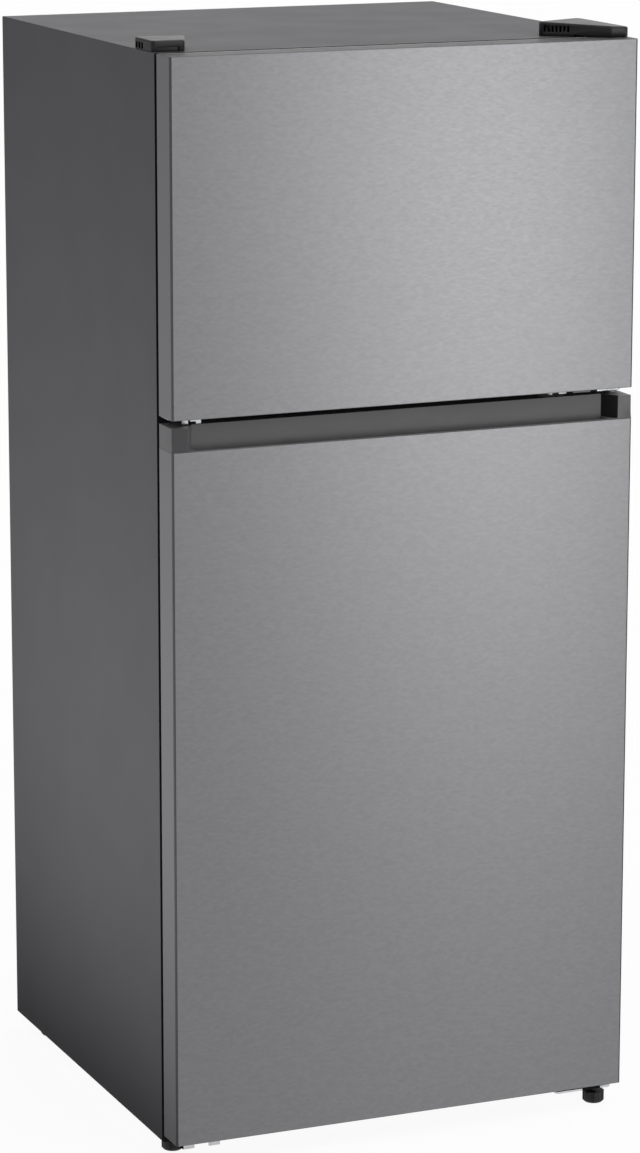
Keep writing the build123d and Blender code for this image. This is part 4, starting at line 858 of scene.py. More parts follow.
@dataclass
class Assembly:
    """A sub-assembly and the pieces that it has made.

    Attributes:
        title: what the sub-assembly is called in the log.
        pieces: the pieces so far.
    """

    title: str = "assembly"
    pieces: list[Piece] = field(default_factory=list)

    def build(self) -> None:
        """Builds and dresses the pieces."""
        raise NotImplementedError

    def keep(self, shape: Piece, body: Body, slot: str, *nodes: str) -> Piece:
        """Fixes a piece to its body.

        Args:
            shape: the piece.
            body: the body that it moves with.
            slot: its material slot in the record, whose finish it gets if it has none yet.
            nodes: the CAD nodes that it stands for.

        Returns:
            The piece.
        """
        if not shape.data.materials:
            shape.data.materials.append(FINISHES[slot].material())
        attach(shape, body.value)
        if nodes:
            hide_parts(*nodes)
        self.pieces.append(shape)
        LOG.info("%s: %s, %d faces", self.title, shape.name, len(shape.data.polygons))
        return shape

    def dress(self, node: str) -> None:
        """Gives a CAD node, whose shape is right, the finish of its slot.

        Args:
            node: the CAD node.
        """
        materials = frame["nodes"][node].data.materials
        materials.clear()
        materials.append(FINISHES[SLOTS[node]].material())
        LOG.info("%s: %s from the frame", self.title, node)

    def repaint(self, piece: Piece, finish: Finish, test: Callable[[bpy.types.MeshPolygon], bool]) -> None:
        """Gives some faces of a piece another finish.

        Args:
            piece: the piece.
            finish: the other finish.
            test: tells which faces get it.
        """
        piece.data.materials.append(finish.material())
        for face in piece.data.polygons:
            if test(face):
                face.material_index = len(piece.data.materials) - 1

    def soften(
        self, node: str, width: float, finish: Finish | None = None, cuts: Sequence[Cut] = ()
    ) -> Piece:
        """Makes a piece like a CAD node with rounded edges.

        Args:
            node: the CAD node.
            width: the rounding's width in metres.
            finish: its finish, or that of its slot.
            cuts: where its faces are divided.

        Returns:
            The piece.
        """
        shape = made_object(f"{node}_finished", merged(node, cuts))
        shape.data.materials.append((finish or FINISHES[SLOTS[node]]).material())
        bevelled(shape, width)
        return self.keep(shape, BODIES[node], SLOTS[node], node)

    def soften_all(self, **widths: float) -> None:
        """Rounds the edges of several CAD nodes, each by its width in millimetres."""
        for node, width in widths.items():
            self.soften(node, width * MM)


@dataclass
class Case(Assembly):
    """The painted steel case with its back and bottom.

    Attributes:
        edge: rounding of the folded sheet edges.
        beads: number of stiffening beads pressed into the back.
        bead_pitch: distance between them.
        bead_width: their width.
        bead_height: how far they stand out.
        bead_margin: bare sheet above and below them.
        bead_grid: faces along a bead, and points across it.
        rivet_margin: distance of the back's rivets from its edges.
        rivets: rivets down each edge.
        rivet_radius: radius of their heads.
        rivet_profile: (radius, height) up a head's section, as shares of that radius.
        rivet_steps: faces round a head.
    """

    title: str = "case"
    edge: float = 0.8 * MM
    beads: int = 5
    bead_pitch: float = 124.0 * MM
    bead_width: float = 34.0 * MM
    bead_height: float = 3.2 * MM
    bead_margin: float = 130.0 * MM
    bead_grid: tuple[int, int] = (24, 9)
    rivet_margin: float = 9.0 * MM
    rivets: int = 8
    rivet_radius: float = 3.2 * MM
    rivet_profile: Profile = ((0.0, -0.2), (1.0, -0.2), (1.0, 0.12), (0.75, 0.32), (0.35, 0.42), (0.0, 0.44))
    rivet_steps: int = 16

    def pressed_beads(self) -> None:
        """Builds the beads that stiffen the back, each a low round ridge with tapered ends."""
        low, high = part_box("rear_panel")
        rows, columns = self.bead_grid
        start = -self.bead_pitch * (self.beads - 1) / 2
        length = high.z - low.z - 2 * self.bead_margin
        shape = bmesh.new()
        grid = []
        for i in range(rows + 1):
            along = i / rows
            taper = min(1.0, min(along, 1 - along) * length / (1.2 * self.bead_width))
            swell = math.sin(taper * math.pi / 2)
            line = []
            for j in range(columns):
                across = j / (columns - 1) - 0.5
                rise = self.bead_height * swell * math.cos(math.pi * across) ** 2
                x = start + across * self.bead_width * (0.3 + 0.7 * swell)
                line.append(shape.verts.new((x, high.y + rise, low.z + self.bead_margin + along * length)))
            grid.append(line)
        bridge(shape, grid, around=False)
        foot = [line[0] for line in grid] + grid[-1][1:] + [line[-1] for line in reversed(grid[:-1])]
        shape.faces.new(foot + list(reversed(grid[0][1:-1])))
        bmesh.ops.recalc_face_normals(shape, faces=shape.faces)
        ridge = smooth(made_object("rear_beads", shape), 60.0)
        ROW.apply(ridge, Count=self.beads, Step=(self.bead_pitch, 0.0, 0.0))
        self.keep(ridge, Body.CABINET, "galvanised_steel")

    def rivet_rows(self) -> None:
        """Builds the rivets down both edges of the back."""
        low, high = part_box("rear_panel")
        step = (high.z - low.z - self.bead_margin) / (self.rivets - 1)
        profile = [(r * self.rivet_radius, h * self.rivet_radius) for r, h in self.rivet_profile]
        rows = []
        for side, x in (("left", low.x + self.rivet_margin), ("right", high.x - self.rivet_margin)):
            place = (x, high.y, low.z + self.bead_margin / 2)
            head = lathe(f"{side}_rivets", profile, self.rivet_steps, Axis.Y, place)
            rows.append(ROW.apply(head, Count=self.rivets, Step=(0.0, 0.0, step)))
        self.keep(joined("rear_rivets", rows), Body.CABINET, "zinc_steel")

    def build(self) -> None:
        """Builds the case's sheets."""
        self.pressed_beads()
        self.rivet_rows()
        for node in ("left_side_panel", "right_side_panel", "top_panel", "center_rail", "base_panel"):
            sheet = self.soften(node, self.edge, CASE_TOP if node == "top_panel" else None)
            # Painted shade: black on the front flanges of the case's sheets, where the gaps round the doors lie in
            # shade.
            self.repaint(sheet, SHADE_BLACK, lambda face: face.normal.y < -SQUARELY)
        self.soften_all(rear_panel=0.4, compressor_base=0.4)
        self.dress("insulation_foam")


@dataclass(frozen=True)
class PanScrew:
    """A pan-head screw with a cross recess.

    Attributes:
        head: radius of the head.
        height: height of the head.
        shank: radius of the shank.
        reach: length of the shank that is made.
        slot: width of the recess's arms.
        depth: depth of the recess.
        arm: reach of its arms, as a share of the head's radius.
        steps: faces round the screw.
    """

    head: float = 5.0 * MM
    height: float = 2.6 * MM
    shank: float = 2.5 * MM
    reach: float = 2.8 * MM
    slot: float = 1.2 * MM
    depth: float = 1.5 * MM
    arm: float = 0.6
    steps: int = 20

    def shape(self, facing: Vector) -> Piece:
        """One screw whose head's seat is at the origin.

        Args:
            facing: the way that its head points.

        Returns:
            The screw.
        """
        profile = (
            (0.0, -self.reach),
            (self.shank, -self.reach),
            (self.shank, 0.0),
            (self.head, 0.0),
            (self.head, 0.45 * self.height),
            (0.86 * self.head, 0.82 * self.height),
            (0.5 * self.head, self.height),
            (0.0, self.height),
        )
        screw = lathe("screw", profile, self.steps, Axis.Z, (0, 0, 0))
        long, short = self.arm * self.head, self.slot / 2
        for x, y in ((long, short), (short, long)):
            low = (-x, -y, self.height - self.depth)
            cutter = bar("arm", low, (x, y, self.height + self.depth), 0.1 * self.slot)
            cut = screw.modifiers.new("recess", "BOOLEAN")
            cut.operation = "DIFFERENCE"
            cut.object = cutter
            plain(screw)
            bpy.data.objects.remove(cutter)
        screw.data.transform(turned(facing))
        return smooth(screw)

    def scatter(self, name: str, places: Sequence[Vector], facing: Vector) -> Piece:
        """Screws at many places.

        Args:
            name: the object's name.
            places: the seats of their heads.
            facing: the way that their heads point.

        Returns:
            The screws as one object, without a material.
        """
        points = bmesh.new()
        for place in places:
            points.verts.new(place)
        screw = self.shape(facing)
        made = SCATTER.apply(made_object(name, points), Piece=screw)
        bpy.data.objects.remove(screw)
        return made


@dataclass
class Hinges(Assembly):
    """Hinge brackets, pins, screws and the covers on the case's top.

    Attributes:
        screw: the screws of the hinges and of the rear cover.
        edge: rounding of the brackets' edges.
        shaded_zinc: where the middle bracket's darker painted shade of zinc starts and ends. To the left of it, it
            has a lighter painted shade of zinc.
        dark: where its painted shade in black ends.
        foot_shade: the left foot bracket has painted shade in black to the left of this.
        hub: where the bottom bracket's painted shade in black starts and ends.
        arm: the top bracket has painted shade in black in front of this.
        skirt: how much lower the hinge cover's edge hangs over the door.
        skirt_zone: height above the cover's foot in which that edge lies.
        panel_low: lowest corner of the plate behind the left cover's mouth, from the cover's own.
        panel_high: its highest corner, from there too.
    """

    title: str = "hinges"
    screw: PanScrew = PanScrew()
    edge: float = 0.5 * MM
    shaded_zinc: Span = (284.3 * MM, 316.6 * MM)
    dark: float = 328.5 * MM
    foot_shade: float = -340.0 * MM
    hub: Span = (321.5 * MM, 353.3 * MM)
    arm: float = -300.0 * MM
    skirt: float = 2.2 * MM
    skirt_zone: float = 5.0 * MM
    panel_low: Point = (8.0 * MM, 2.2 * MM, 0.0)
    panel_high: Point = (42.0 * MM, 3.8 * MM, 8.5 * MM)

    def screws(self) -> None:
        """Builds the screws where the frame has them, with their heads outwards."""
        seats: dict[tuple[int, int], list[Vector]] = {}
        for points in loose_parts("screws"):
            low, high = box_of(points)
            way = min(range(3), key=lambda k: high[k] - low[k])
            centre = (low + high) / 2
            across = [k for k in range(3) if k != way]
            reach = 0.9 * self.screw.head
            wide = [p for p in points if math.hypot(*(p[k] - centre[k] for k in across)) > reach]
            sign = 1 if sum(p[way] for p in wide) / len(wide) > centre[way] else -1
            centre[way] = (high if sign > 0 else low)[way] - sign * self.screw.height
            seats.setdefault((way, sign), []).append(centre)
        groups = []
        for (way, sign), places in seats.items():
            facing = Vector([sign if k == way else 0 for k in range(3)])
            groups.append(self.screw.scatter(f"screws_{way}_{sign}", places, facing))
        self.keep(joined("cross_screws", groups), Body.CABINET, "zinc_steel", "screws")

    def build(self) -> None:
        """Builds brackets, screws and covers."""
        self.screws()
        self.brackets()
        self.soften_all(hinge_pins=0.5, freezer_door_stops=0.5)
        self.covers()

    def covers(self) -> None:
        """Builds the covers, the hinge's with a skirt close over the door."""
        left = self.soften("top_left_cover", 1.0 * MM, LEFT_COVER)
        self.repaint(left, LEFT_COVER_SIDE, lambda face: face.normal.x < -PARTLY)
        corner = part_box("top_left_cover")[0]
        low, high = (corner + Vector(end) for end in (self.panel_low, self.panel_high))
        panel = bar("left_cover_panel", low, high, 0.4 * MM)
        panel.data.materials.append(LEFT_COVER.material())
        self.keep(panel, Body.CABINET, "cover_plastic")
        hood = self.soften("top_hinge_cover", 1.0 * MM)
        front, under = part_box("top_panel")[0].y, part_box("top_hinge_cover")[0].z
        for vertex in hood.data.vertices:
            if vertex.co.y < front and under + self.skirt < vertex.co.z < under + self.skirt_zone:
                vertex.co.z -= self.skirt

    def brackets(self) -> None:
        """Builds the brackets, with painted shade on parts of their plating: darker zinc, or black."""
        start, end = self.shaded_zinc
        cuts = [(Axis.X, x) for x in (start, end, self.dark)]
        middle = self.soften("middle_hinge_bracket", self.edge, None, cuts)
        # Painted shade on the middle bracket: lightly shaded zinc to the left, darker zinc next, then black.
        self.repaint(middle, ZINC_HALF_SHADE, lambda face: face.center.x < start)
        self.repaint(middle, ZINC_SHADE, lambda face: start < face.center.x < end)
        self.repaint(middle, SHADE_BLACK, lambda face: end < face.center.x < self.dark)
        foot = self.soften("left_foot_bracket", self.edge, None, [(Axis.X, self.foot_shade)])
        # Painted shade: black on the left foot bracket's left end.
        self.repaint(foot, SHADE_BLACK, lambda face: face.center.x < self.foot_shade)
        left, right = self.hub
        bottom = self.soften("bottom_hinge_bracket", self.edge, None, [(Axis.X, x) for x in self.hub])
        # Painted shade: black on the bottom bracket round the foot's hub.
        self.repaint(bottom, SHADE_BLACK, lambda face: left < face.center.x < right)
        top = self.soften("top_hinge_bracket", self.edge, None, [(Axis.Y, self.arm)])
        # Painted shade: black on the front of the top bracket.
        self.repaint(top, SHADE_BLACK, lambda face: face.center.y < self.arm)


@dataclass
class Door(Assembly):
    """One door: brushed front folded round the sides, ends, liner, gasket and shelves.

    Attributes:
        which: what the door closes.
        fold_radius: radius of the fold between front and side.
        fold_steps: faces round that fold.
        sheet: thickness of the steel.
        lip: rounding of the sheet's upper and lower edges.
        flat_area: faces of the skin over this area are flat sheet.
        gasket_profile: (inwards from its edge, out from the door) round the section of the gasket.
        rim: (outwards from the wall, up from its top) round the section of a door shelf's rim.
        shelf_wall: thickness of a door shelf's walls.
        shelf_corner: radius of its far corners.
        shelf_steps: faces round such a corner.
        recess_rear: the back of the finger recess.
        recess_end: width of the solid ends beside the recess.
        free_end: width of the trim's free end.
        front_depth: depth of the trim's front.
        taper: how much the trim narrows towards its top at the hinge end.
        taper_zone: width of the end that narrows.
    """

    title: str = "door"
    which: Compartment = Compartment.FREEZER
    fold_radius: float = 3.0 * MM
    fold_steps: int = 6
    sheet: float = 0.7 * MM
    lip: float = 1.0 * MM
    flat_area: float = 0.01
    gasket_profile: Profile = (
        *((1.0, 0.1), (0.2, 1.5), (1.7, 2.7), (0.3, 3.9), (1.7, 5.1), (0.2, 6.4), (0.6, 8.5), (2.2, 9.0)),
        *((17.8, 9.0), (19.4, 8.5), (19.8, 6.4), (18.2, 5.1), (19.6, 3.9), (18.2, 2.7), (19.0, 0.1)),
    )
    rim: Profile = (
        *((0.0, -6.0), (1.6, -5.2), (2.2, -2.5), (1.6, 0.4)),
        *((-1.0, 1.2), (-3.4, 0.6), (-3.6, -1.4), (-3.0, -2.4)),
    )
    shelf_wall: float = 3.0 * MM
    shelf_corner: float = 8.0 * MM
    shelf_steps: int = 4
    recess_rear: float = -343.0 * MM
    recess_end: float = 22.0 * MM
    free_end: float = 30.0 * MM
    front_depth: float = 5.0 * MM
    taper: float = 3.2 * MM
    taper_zone: float = 2.0 * MM

    def named(self, part: str) -> str:
        """The name of one of this door's parts."""
        return f"{self.which.value}_door_{part}"

    @property
    def body(self) -> Body:
        """The door's body."""
        return Body(f"{self.which.value}_door")

    def build(self) -> None:
        """Builds the door."""
        self.skin()
        self.gasket()
        caps = "end_caps" if self.which is Compartment.FREEZER else "bottom_cap"
        widths = {caps: 1.2, "liner": 1.5, "bins": 0.7, "bushes": 0.4}
        self.soften_all(**{self.named(part): width for part, width in widths.items()})
        self.shelf_rims()
        self.dress(self.named("foam"))
        if self.which is Compartment.FRIDGE:
            self.finish_trim()

    def gasket(self) -> None:
        """Builds the seal, whose section has bellows on both sides."""
        low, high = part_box(self.named("gasket"))
        middle = (low + high) / 2
        half = (high - low) / 2
        path = [
            (Vector((middle.x + x * half.x, low.y, middle.z + z * half.z)), Vector((x, 0, z)))
            for x, z in ((-1, -1), (1, -1), (1, 1), (-1, 1))
        ]
        profile = [(-inwards * MM, out * MM) for inwards, out in self.gasket_profile]
        shape = bmesh.new()
        sweep(shape, path, profile, Axis.Y, ring=True)
        seal = smooth(made_object(self.named("seal"), shape))
        self.keep(seal, self.body, "gasket_vinyl", self.named("gasket"))

    def shelf_rims(self) -> None:
        """Builds the rolled rims of the door's shelves."""
        shape = bmesh.new()
        for low, high in map(box_of, loose_parts(self.named("bins"))):
            path = [(Vector((low.x, low.y + self.shelf_wall, high.z)), Vector((-1, 0, 0)))]
            for side, edge in ((-1, low.x), (1, high.x)):
                bend = Vector((edge - side * self.shelf_corner, high.y - self.shelf_corner, high.z))
                for k in range(self.shelf_steps + 1):
                    turn = k if side < 0 else self.shelf_steps - k
                    angle = math.pi / 2 * turn / self.shelf_steps
                    out = Vector((side * math.cos(angle), math.sin(angle), 0))
                    path.append((bend + out * self.shelf_corner, out))
            path.append((Vector((high.x, low.y + self.shelf_wall, high.z)), Vector((1, 0, 0))))
            sweep(shape, path, [(out * MM, up * MM) for out, up in self.rim], Axis.Z, ring=False)
        rims = smooth(made_object(self.named("shelf_rims"), shape))
        self.keep(rims, self.body, "clear_plastic")

    def finish_trim(self) -> None:
        """Builds the trim: painted shade on the outside of its free end and in black on the recess's end wall, and
        a taper at the hinge.
        """
        low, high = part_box("fridge_handle_trim")
        reach, top = high.x, high.z
        skin_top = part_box("fridge_door_skin")[1].z
        free_end = low.x + self.free_end
        trim = self.soften("fridge_handle_trim", 1.2 * MM, cuts=[(Axis.X, free_end)])

        def shaded_end_wall(face: bpy.types.MeshPolygon) -> bool:
            """Whether a face is the recess's end wall, which gets painted shade."""
            inside = face.center.z > skin_top and 0 < face.center.x < reach - self.recess_end
            return inside and face.center.y < self.recess_rear and face.normal.x < -MOSTLY

        def outside(face: bpy.types.MeshPolygon) -> bool:
            """Whether a face is on the outside of the free end, which gets painted shade."""
            front = face.normal.y < -PARTLY and face.center.y < low.y + self.front_depth
            return face.center.x < free_end and (front or face.normal.x < -PARTLY)

        # Painted shade: near black on the recess's end wall.
        self.repaint(trim, RECESS_SHADE, shaded_end_wall)
        # Painted shade: the outside of the trim's free end is a darker copy of its plastic.
        self.repaint(trim, TRIM_END_SHADE, outside)
        for vertex in trim.data.vertices:
            share = (vertex.co.z - skin_top) / (top - skin_top)
            if share > 0 and vertex.co.x > reach - self.taper_zone:
                vertex.co.x -= self.taper * share

    def outline(self, inset: float) -> list[tuple[float, float]]:
        """The skin's section from its left rear edge round the front to the right.

        Args:
            inset: how far inside the outer face.

        Returns:
            (x, y) points.
        """
        low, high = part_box(self.named("skin"))
        half = high.x - inset
        front = low.y + inset
        radius = self.fold_radius - inset
        left = [(-half, high.y)]
        for k in range(self.fold_steps + 1):
            angle = math.pi / 2 * k / self.fold_steps
            left.append((-half + radius * (1 - math.cos(angle)), front + radius * (1 - math.sin(angle))))
        return left + [(-x, y) for x, y in reversed(left)]

    def skin(self) -> None:
        """Builds the folded sheet, with its grain's direction and three finishes, one of them painted shade on the
        folds and the upper edge.
        """
        low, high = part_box(self.named("skin"))
        shape = bmesh.new()
        inner = self.outline(self.sheet)
        levels = [
            (inner, low.z + self.lip),
            (self.outline(0.45 * self.lip), low.z),
            (self.outline(0.12 * self.lip), low.z + 0.35 * self.lip),
            (self.outline(0.0), low.z + self.lip),
            (self.outline(0.0), high.z - self.lip),
            (self.outline(0.12 * self.lip), high.z - 0.35 * self.lip),
            (self.outline(0.45 * self.lip), high.z),
            (inner, high.z - self.lip),
        ]
        rings = [[shape.verts.new((x, y, z)) for x, y in outline] for outline, z in levels]
        rings.append(rings[0])
        front, fold, side = range(3)
        folds = [fold] * self.fold_steps
        strips = (side, *folds, front, *folds, side)
        upper_lip, upper_edge = 5, 6
        for number, face in enumerate(bridge(shape, rings, around=False)):
            ring, strip = divmod(number, len(strips))
            # The folds and the front's upper edge and lip get the painted shade.
            shaded = ring == upper_edge or (ring == upper_lip and strips[strip] == front)
            face.material_index = fold if shaded else strips[strip]
        for k in (0, len(inner) - 1):
            shape.faces.new([ring[k] for ring in rings[:-1]]).material_index = side
        bmesh.ops.recalc_face_normals(shape, faces=shape.faces)
        grain = shape.loops.layers.uv.new("grain")
        for face in shape.faces:
            for corner in face.loops:
                corner[grain].uv = (corner.vert.co.z, corner.vert.co.x + corner.vert.co.y)
        skin = flat_faces(smooth(made_object(self.named("front"), shape), 40.0), self.flat_area)
        for finish in (STEEL, FOLD_SHADE, DOOR_SIDE):
            skin.data.materials.append(finish.material())
        self.keep(skin, self.body, "stainless_steel", self.named("skin"))


@dataclass
class FanWheel:
    """A moulded fan wheel: a domed hub and curved blades.

    Attributes:
        node: the CAD node that it stands for.
        axis: its axis.
        blades: number of blades.
        hub_share: the hub's radius as a share of the wheel's.
        chord: angle that a blade spans, in radians.
        sheet: thickness of a blade.
        bore: radius of the shaft hole.
        steps: faces round the hub.
        grid: points of a blade along and across it.
    """

    node: str
    axis: Axis
    blades: int = 5
    hub_share: float = 0.28
    chord: float = 0.95
    sheet: float = 1.6 * MM
    bore: float = 2.2 * MM
    steps: int = 40
    grid: tuple[int, int] = (9, 9)

    def build(self) -> Piece:
        """Builds the wheel.

        Returns:
            The wheel as one object, without a material.
        """
        low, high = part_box(self.node)
        way = self.axis.value.index(1.0)
        centre = joint_anchor(self.node)
        centre[way] = (low[way] + high[way]) / 2
        radius = max(high[k] - centre[k] for k in range(3) if k != way)
        depth = high[way] - low[way]
        hub = self.hub(radius * self.hub_share, depth, centre)
        blade = self.blade(radius, depth)
        blade.data.transform(Matrix.Translation(centre) @ turned(Vector(self.axis.value)))
        RING.apply(blade, Count=self.blades, Axis=self.axis.value, Centre=tuple(centre))
        return joined(f"{self.node}_wheel", (hub, blade))

    def hub(self, radius: float, depth: float, centre: Vector) -> Piece:
        """The domed hub with its shaft hole.

        Args:
            radius: its radius.
            depth: its depth.
            centre: its middle.

        Returns:
            The hub.
        """
        half = depth / 2
        profile = (
            (self.bore, -half),
            (0.80 * radius, -half),
            (0.95 * radius, -0.82 * half),
            (radius, -0.5 * half),
            (radius, 0.9 * half),
            (0.88 * radius, half),
            (0.88 * radius, 0.2 * half),
            (2.2 * self.bore, 0.2 * half),
            (2.2 * self.bore, half),
            (self.bore, half),
        )
        return lathe("hub", profile, self.steps, self.axis, tuple(centre), bored=True)

    def blade(self, radius: float, depth: float) -> Piece:
        """One curved blade about +Z at the origin.

        Args:
            radius: the wheel's radius.
            depth: the wheel's depth.

        Returns:
            The blade.
        """
        rows, columns = self.grid
        shape = bmesh.new()
        inner = 0.97 * self.hub_share * radius
        room = depth / 2 - self.sheet
        grid = []
        for i in range(rows):
            share = i / (rows - 1)
            reach = inner + (radius - inner) * share
            width = self.chord * (0.8 + 0.35 * math.sin(math.pi * min(1.0, share * 0.75)))
            line = []
            for j in range(columns):
                t = 2 * j / (columns - 1) - 1
                tip = 1 - 0.05 * t * t * share
                angle = width / 2 * t + 0.25 * share
                rise = room * (0.92 - 0.2 * share) * t + 0.08 * room * (1 - t * t)
                x, y = reach * tip * math.cos(angle), reach * tip * math.sin(angle)
                line.append(shape.verts.new((x, y, rise)))
            grid.append(line)
        bridge(shape, grid, around=False)
        bmesh.ops.recalc_face_normals(shape, faces=shape.faces)
        blade = made_object("blade", shape)
        wall = blade.modifiers.new("wall", "SOLIDIFY")
        wall.thickness = self.sheet
        wall.offset = 0.0
        return smooth(plain(blade), 50.0)


@dataclass
class FreshFood(Assembly):
    """The fresh-food compartment: liner, shelves, crispers and the control housing.

    Attributes:
        flutes: ribs on each crisper's front.
        flute_width: their width.
        flute_rise: how far they stand out.
        flute_side: share of the front beside them that stays bare.
        flute_end: share of the front above and below them that stays bare.
        front_inset: distance of the crisper's front wall behind its finger lip.
        prisms: prisms under the lamp lens.
        prism_rise: their height.
        knurls: ribs round the dial.
        knurl_radius: radius of those ribs.
        knurl_gap: how far below the housing they end.
        pointer: the pointer's width, its distances from the dial's rim and middle, and its rise.
        numbers: numbers round the dial.
        number_size: their height.
        number_circle: radius of the circle that they stand on.
        number_sweep: angle from the first to the last, in degrees.
    """

    title: str = "fresh food"
    flutes: int = 13
    flute_width: float = 7.0 * MM
    flute_rise: float = 2.2 * MM
    flute_side: float = 0.07
    flute_end: float = 0.12
    front_inset: float = 12.0 * MM
    prisms: int = 26
    prism_rise: float = 1.2 * MM
    knurls: int = 30
    knurl_radius: float = 0.9 * MM
    knurl_gap: float = 0.8 * MM
    pointer: tuple[float, ...] = (1.6 * MM, 5.5 * MM, 3.0 * MM, 0.3 * MM)
    numbers: int = 7
    number_size: float = 9.0 * MM
    number_circle: float = 29.0 * MM
    number_sweep: float = 270.0

    def crisper_flutes(self) -> None:
        """Builds the ribs on the crispers' fronts."""
        for side, body in (("left", Body.LEFT_CRISPER), ("right", Body.RIGHT_CRISPER)):
            low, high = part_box(f"{side}_crisper")
            face = low.y + self.front_inset
            span = high.x - low.x
            pitch = (1 - 2 * self.flute_side) * span / (self.flutes - 1)
            x = low.x + self.flute_side * span
            half = self.flute_width / 2
            bare = self.flute_end * (high.z - low.z)
            corner = (x - half, face - self.flute_rise, low.z + bare)
            rib = bar(f"{side}_crisper_ribs", corner, (x + half, face, high.z - bare), 0.45 * self.flute_rise)
            ROW.apply(rib, Count=self.flutes, Step=(pitch, 0.0, 0.0))
            self.keep(rib, body, "clear_plastic")

    def lens_prisms(self) -> None:
        """Builds the prisms under the lamp lens."""
        low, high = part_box("lamp_lens")
        margin = 3 * self.prism_rise
        pitch = (high.y - low.y - 2 * margin) / self.prisms
        shape = bmesh.new()
        y = low.y + margin
        section = ((y, low.z), (y + pitch / 2, low.z - self.prism_rise), (y + pitch, low.z))
        ends = [[shape.verts.new((x, y, z)) for y, z in section] for x in (low.x + margin, high.x - margin)]
        for end in ends:
            shape.faces.new(end)
        bridge(shape, ends, around=True)
        bmesh.ops.recalc_face_normals(shape, faces=shape.faces)
        prism = made_object("lens_prisms", shape)
        ROW.apply(prism, Count=self.prisms, Step=(0.0, pitch, 0.0))
        self.keep(prism, Body.CABINET, "lamp_lens")

    def dial_marks(self) -> None:
        """Builds the dial's knurl and pointer, and plain numbers round it on the housing."""
        low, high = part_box("temperature_dial")
        centre = (low + high) / 2
        radius = (high.x - low.x) / 2
        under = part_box("control_housing")[0].z
        half = self.knurl_radius
        lower = (centre.x + radius - half, centre.y - half, (low.z + under) / 2)
        upper = (centre.x + radius + half, centre.y + half, under - self.knurl_gap)
        knurl = bar("dial_knurl", lower, upper, 0.6 * half)
        RING.apply(knurl, Count=self.knurls, Axis=Axis.Z.value, Centre=tuple(centre))
        self.keep(knurl, Body.DIAL, "dial_plastic")
        width, rim_gap, middle_gap, rise = self.pointer
        tip = (centre.x - width / 2, low.y + rim_gap, low.z - rise)
        tail = (centre.x + width / 2, centre.y - middle_gap, low.z + rise)
        pointer = bar("dial_pointer", tip, tail, 0.2 * MM)
        self.keep(pointer, Body.DIAL, "nylon")
        figures = []
        for k in range(self.numbers):
            angle = math.radians(-90 + self.number_sweep * (k / (self.numbers - 1) - 0.5))
            across, along = (self.number_circle * turn(angle) for turn in (math.cos, math.sin))
            figures.append(self.figure(str(k + 1), (centre.x + across, centre.y + along, under)))
        self.keep(joined("dial_numbers", figures), Body.CABINET, "black_plastic")

    def figure(self, text: str, place: Point) -> Piece:
        """One number that faces down.

        Args:
            text: the number.
            place: its middle.

        Returns:
            The number as a mesh.
        """
        curve = bpy.data.curves.new("figure", "FONT")
        curve.body = text
        curve.size = self.number_size
        curve.extrude = 0.15 * MM
        curve.align_x = "CENTER"
        curve.align_y = "CENTER"
        letter = placed("figure", curve)
        graph = bpy.context.evaluated_depsgraph_get()
        mesh = bpy.data.meshes.new_from_object(letter.evaluated_get(graph))
        bpy.data.objects.remove(letter)
        mesh.materials.clear()
        mesh.transform(Matrix.Translation(place) @ Matrix.Rotation(math.pi, 4, "X"))
        return placed(f"figure_{text}", mesh)

    def build(self) -> None:
        """Builds the compartment."""
        self.crisper_flutes()
        self.lens_prisms()
        self.dial_marks()
        self.soften_all(fridge_liner=2.0, shelf_glass=0.5, shelf_trims=1.0)
        self.soften_all(left_crisper=0.8, right_crisper=0.8, control_housing=1.5)
        self.soften_all(lamp_lens=1.0, temperature_dial=0.8, light_switch_button=0.6)


@dataclass
class Freezer(Assembly):
    """The freezer compartment: liner, wire shelf and the cooling chamber behind its cover.

    Attributes:
        louvres: slanted blades over the air grille.
        louvre_pitch: distance between them.
        louvre_length: their length.
        louvre_reach: how far they stand out.
        louvre_drop: how far their front edge hangs.
        louvre_sheet: their thickness.
    """

    title: str = "freezer"
    louvres: int = 6
    louvre_pitch: float = 17.0 * MM
    louvre_length: float = 126.0 * MM
    louvre_reach: float = 7.0 * MM
    louvre_drop: float = 6.0 * MM
    louvre_sheet: float = 1.6 * MM

    def grille_louvres(self) -> None:
        """Builds the blades over the slots before the fan."""
        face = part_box("freezer_back_cover")[0].y
        middle = joint_anchor("evaporator_fan").z
        top = middle - self.louvre_pitch * (self.louvres - 1) / 2 + 0.32 * self.louvre_pitch
        half = self.louvre_length / 2
        shape = bmesh.new()
        section = (
            (face, top),
            (face - self.louvre_reach, top - self.louvre_drop),
            (face - self.louvre_reach, top - self.louvre_drop + self.louvre_sheet),
            (face - 0.4 * self.louvre_reach, top + self.louvre_sheet),
            (face, top + 1.6 * self.louvre_sheet),
        )
        path = [(Vector((x, 0, 0)), Vector((0, 1, 0))) for x in (-half, half)]
        sweep(shape, path, section, Axis.Z, ring=False)
        blade = bevelled(made_object("grille_louvres", shape), 0.3 * MM)
        ROW.apply(blade, Count=self.louvres, Step=(0.0, 0.0, self.louvre_pitch))
        self.keep(blade, Body.CABINET, "white_liner")

    def build(self) -> None:
        """Builds the compartment."""
        self.grille_louvres()
        self.soften_all(freezer_liner=2.0, freezer_back_cover=1.0)
        for node in ("freezer_shelf", "evaporator"):
            self.dress(node)
        wheel = FanWheel("evaporator_fan", Axis.Y).build()
        self.keep(wheel, Body.EVAPORATOR_FAN, "nylon", "evaporator_fan")


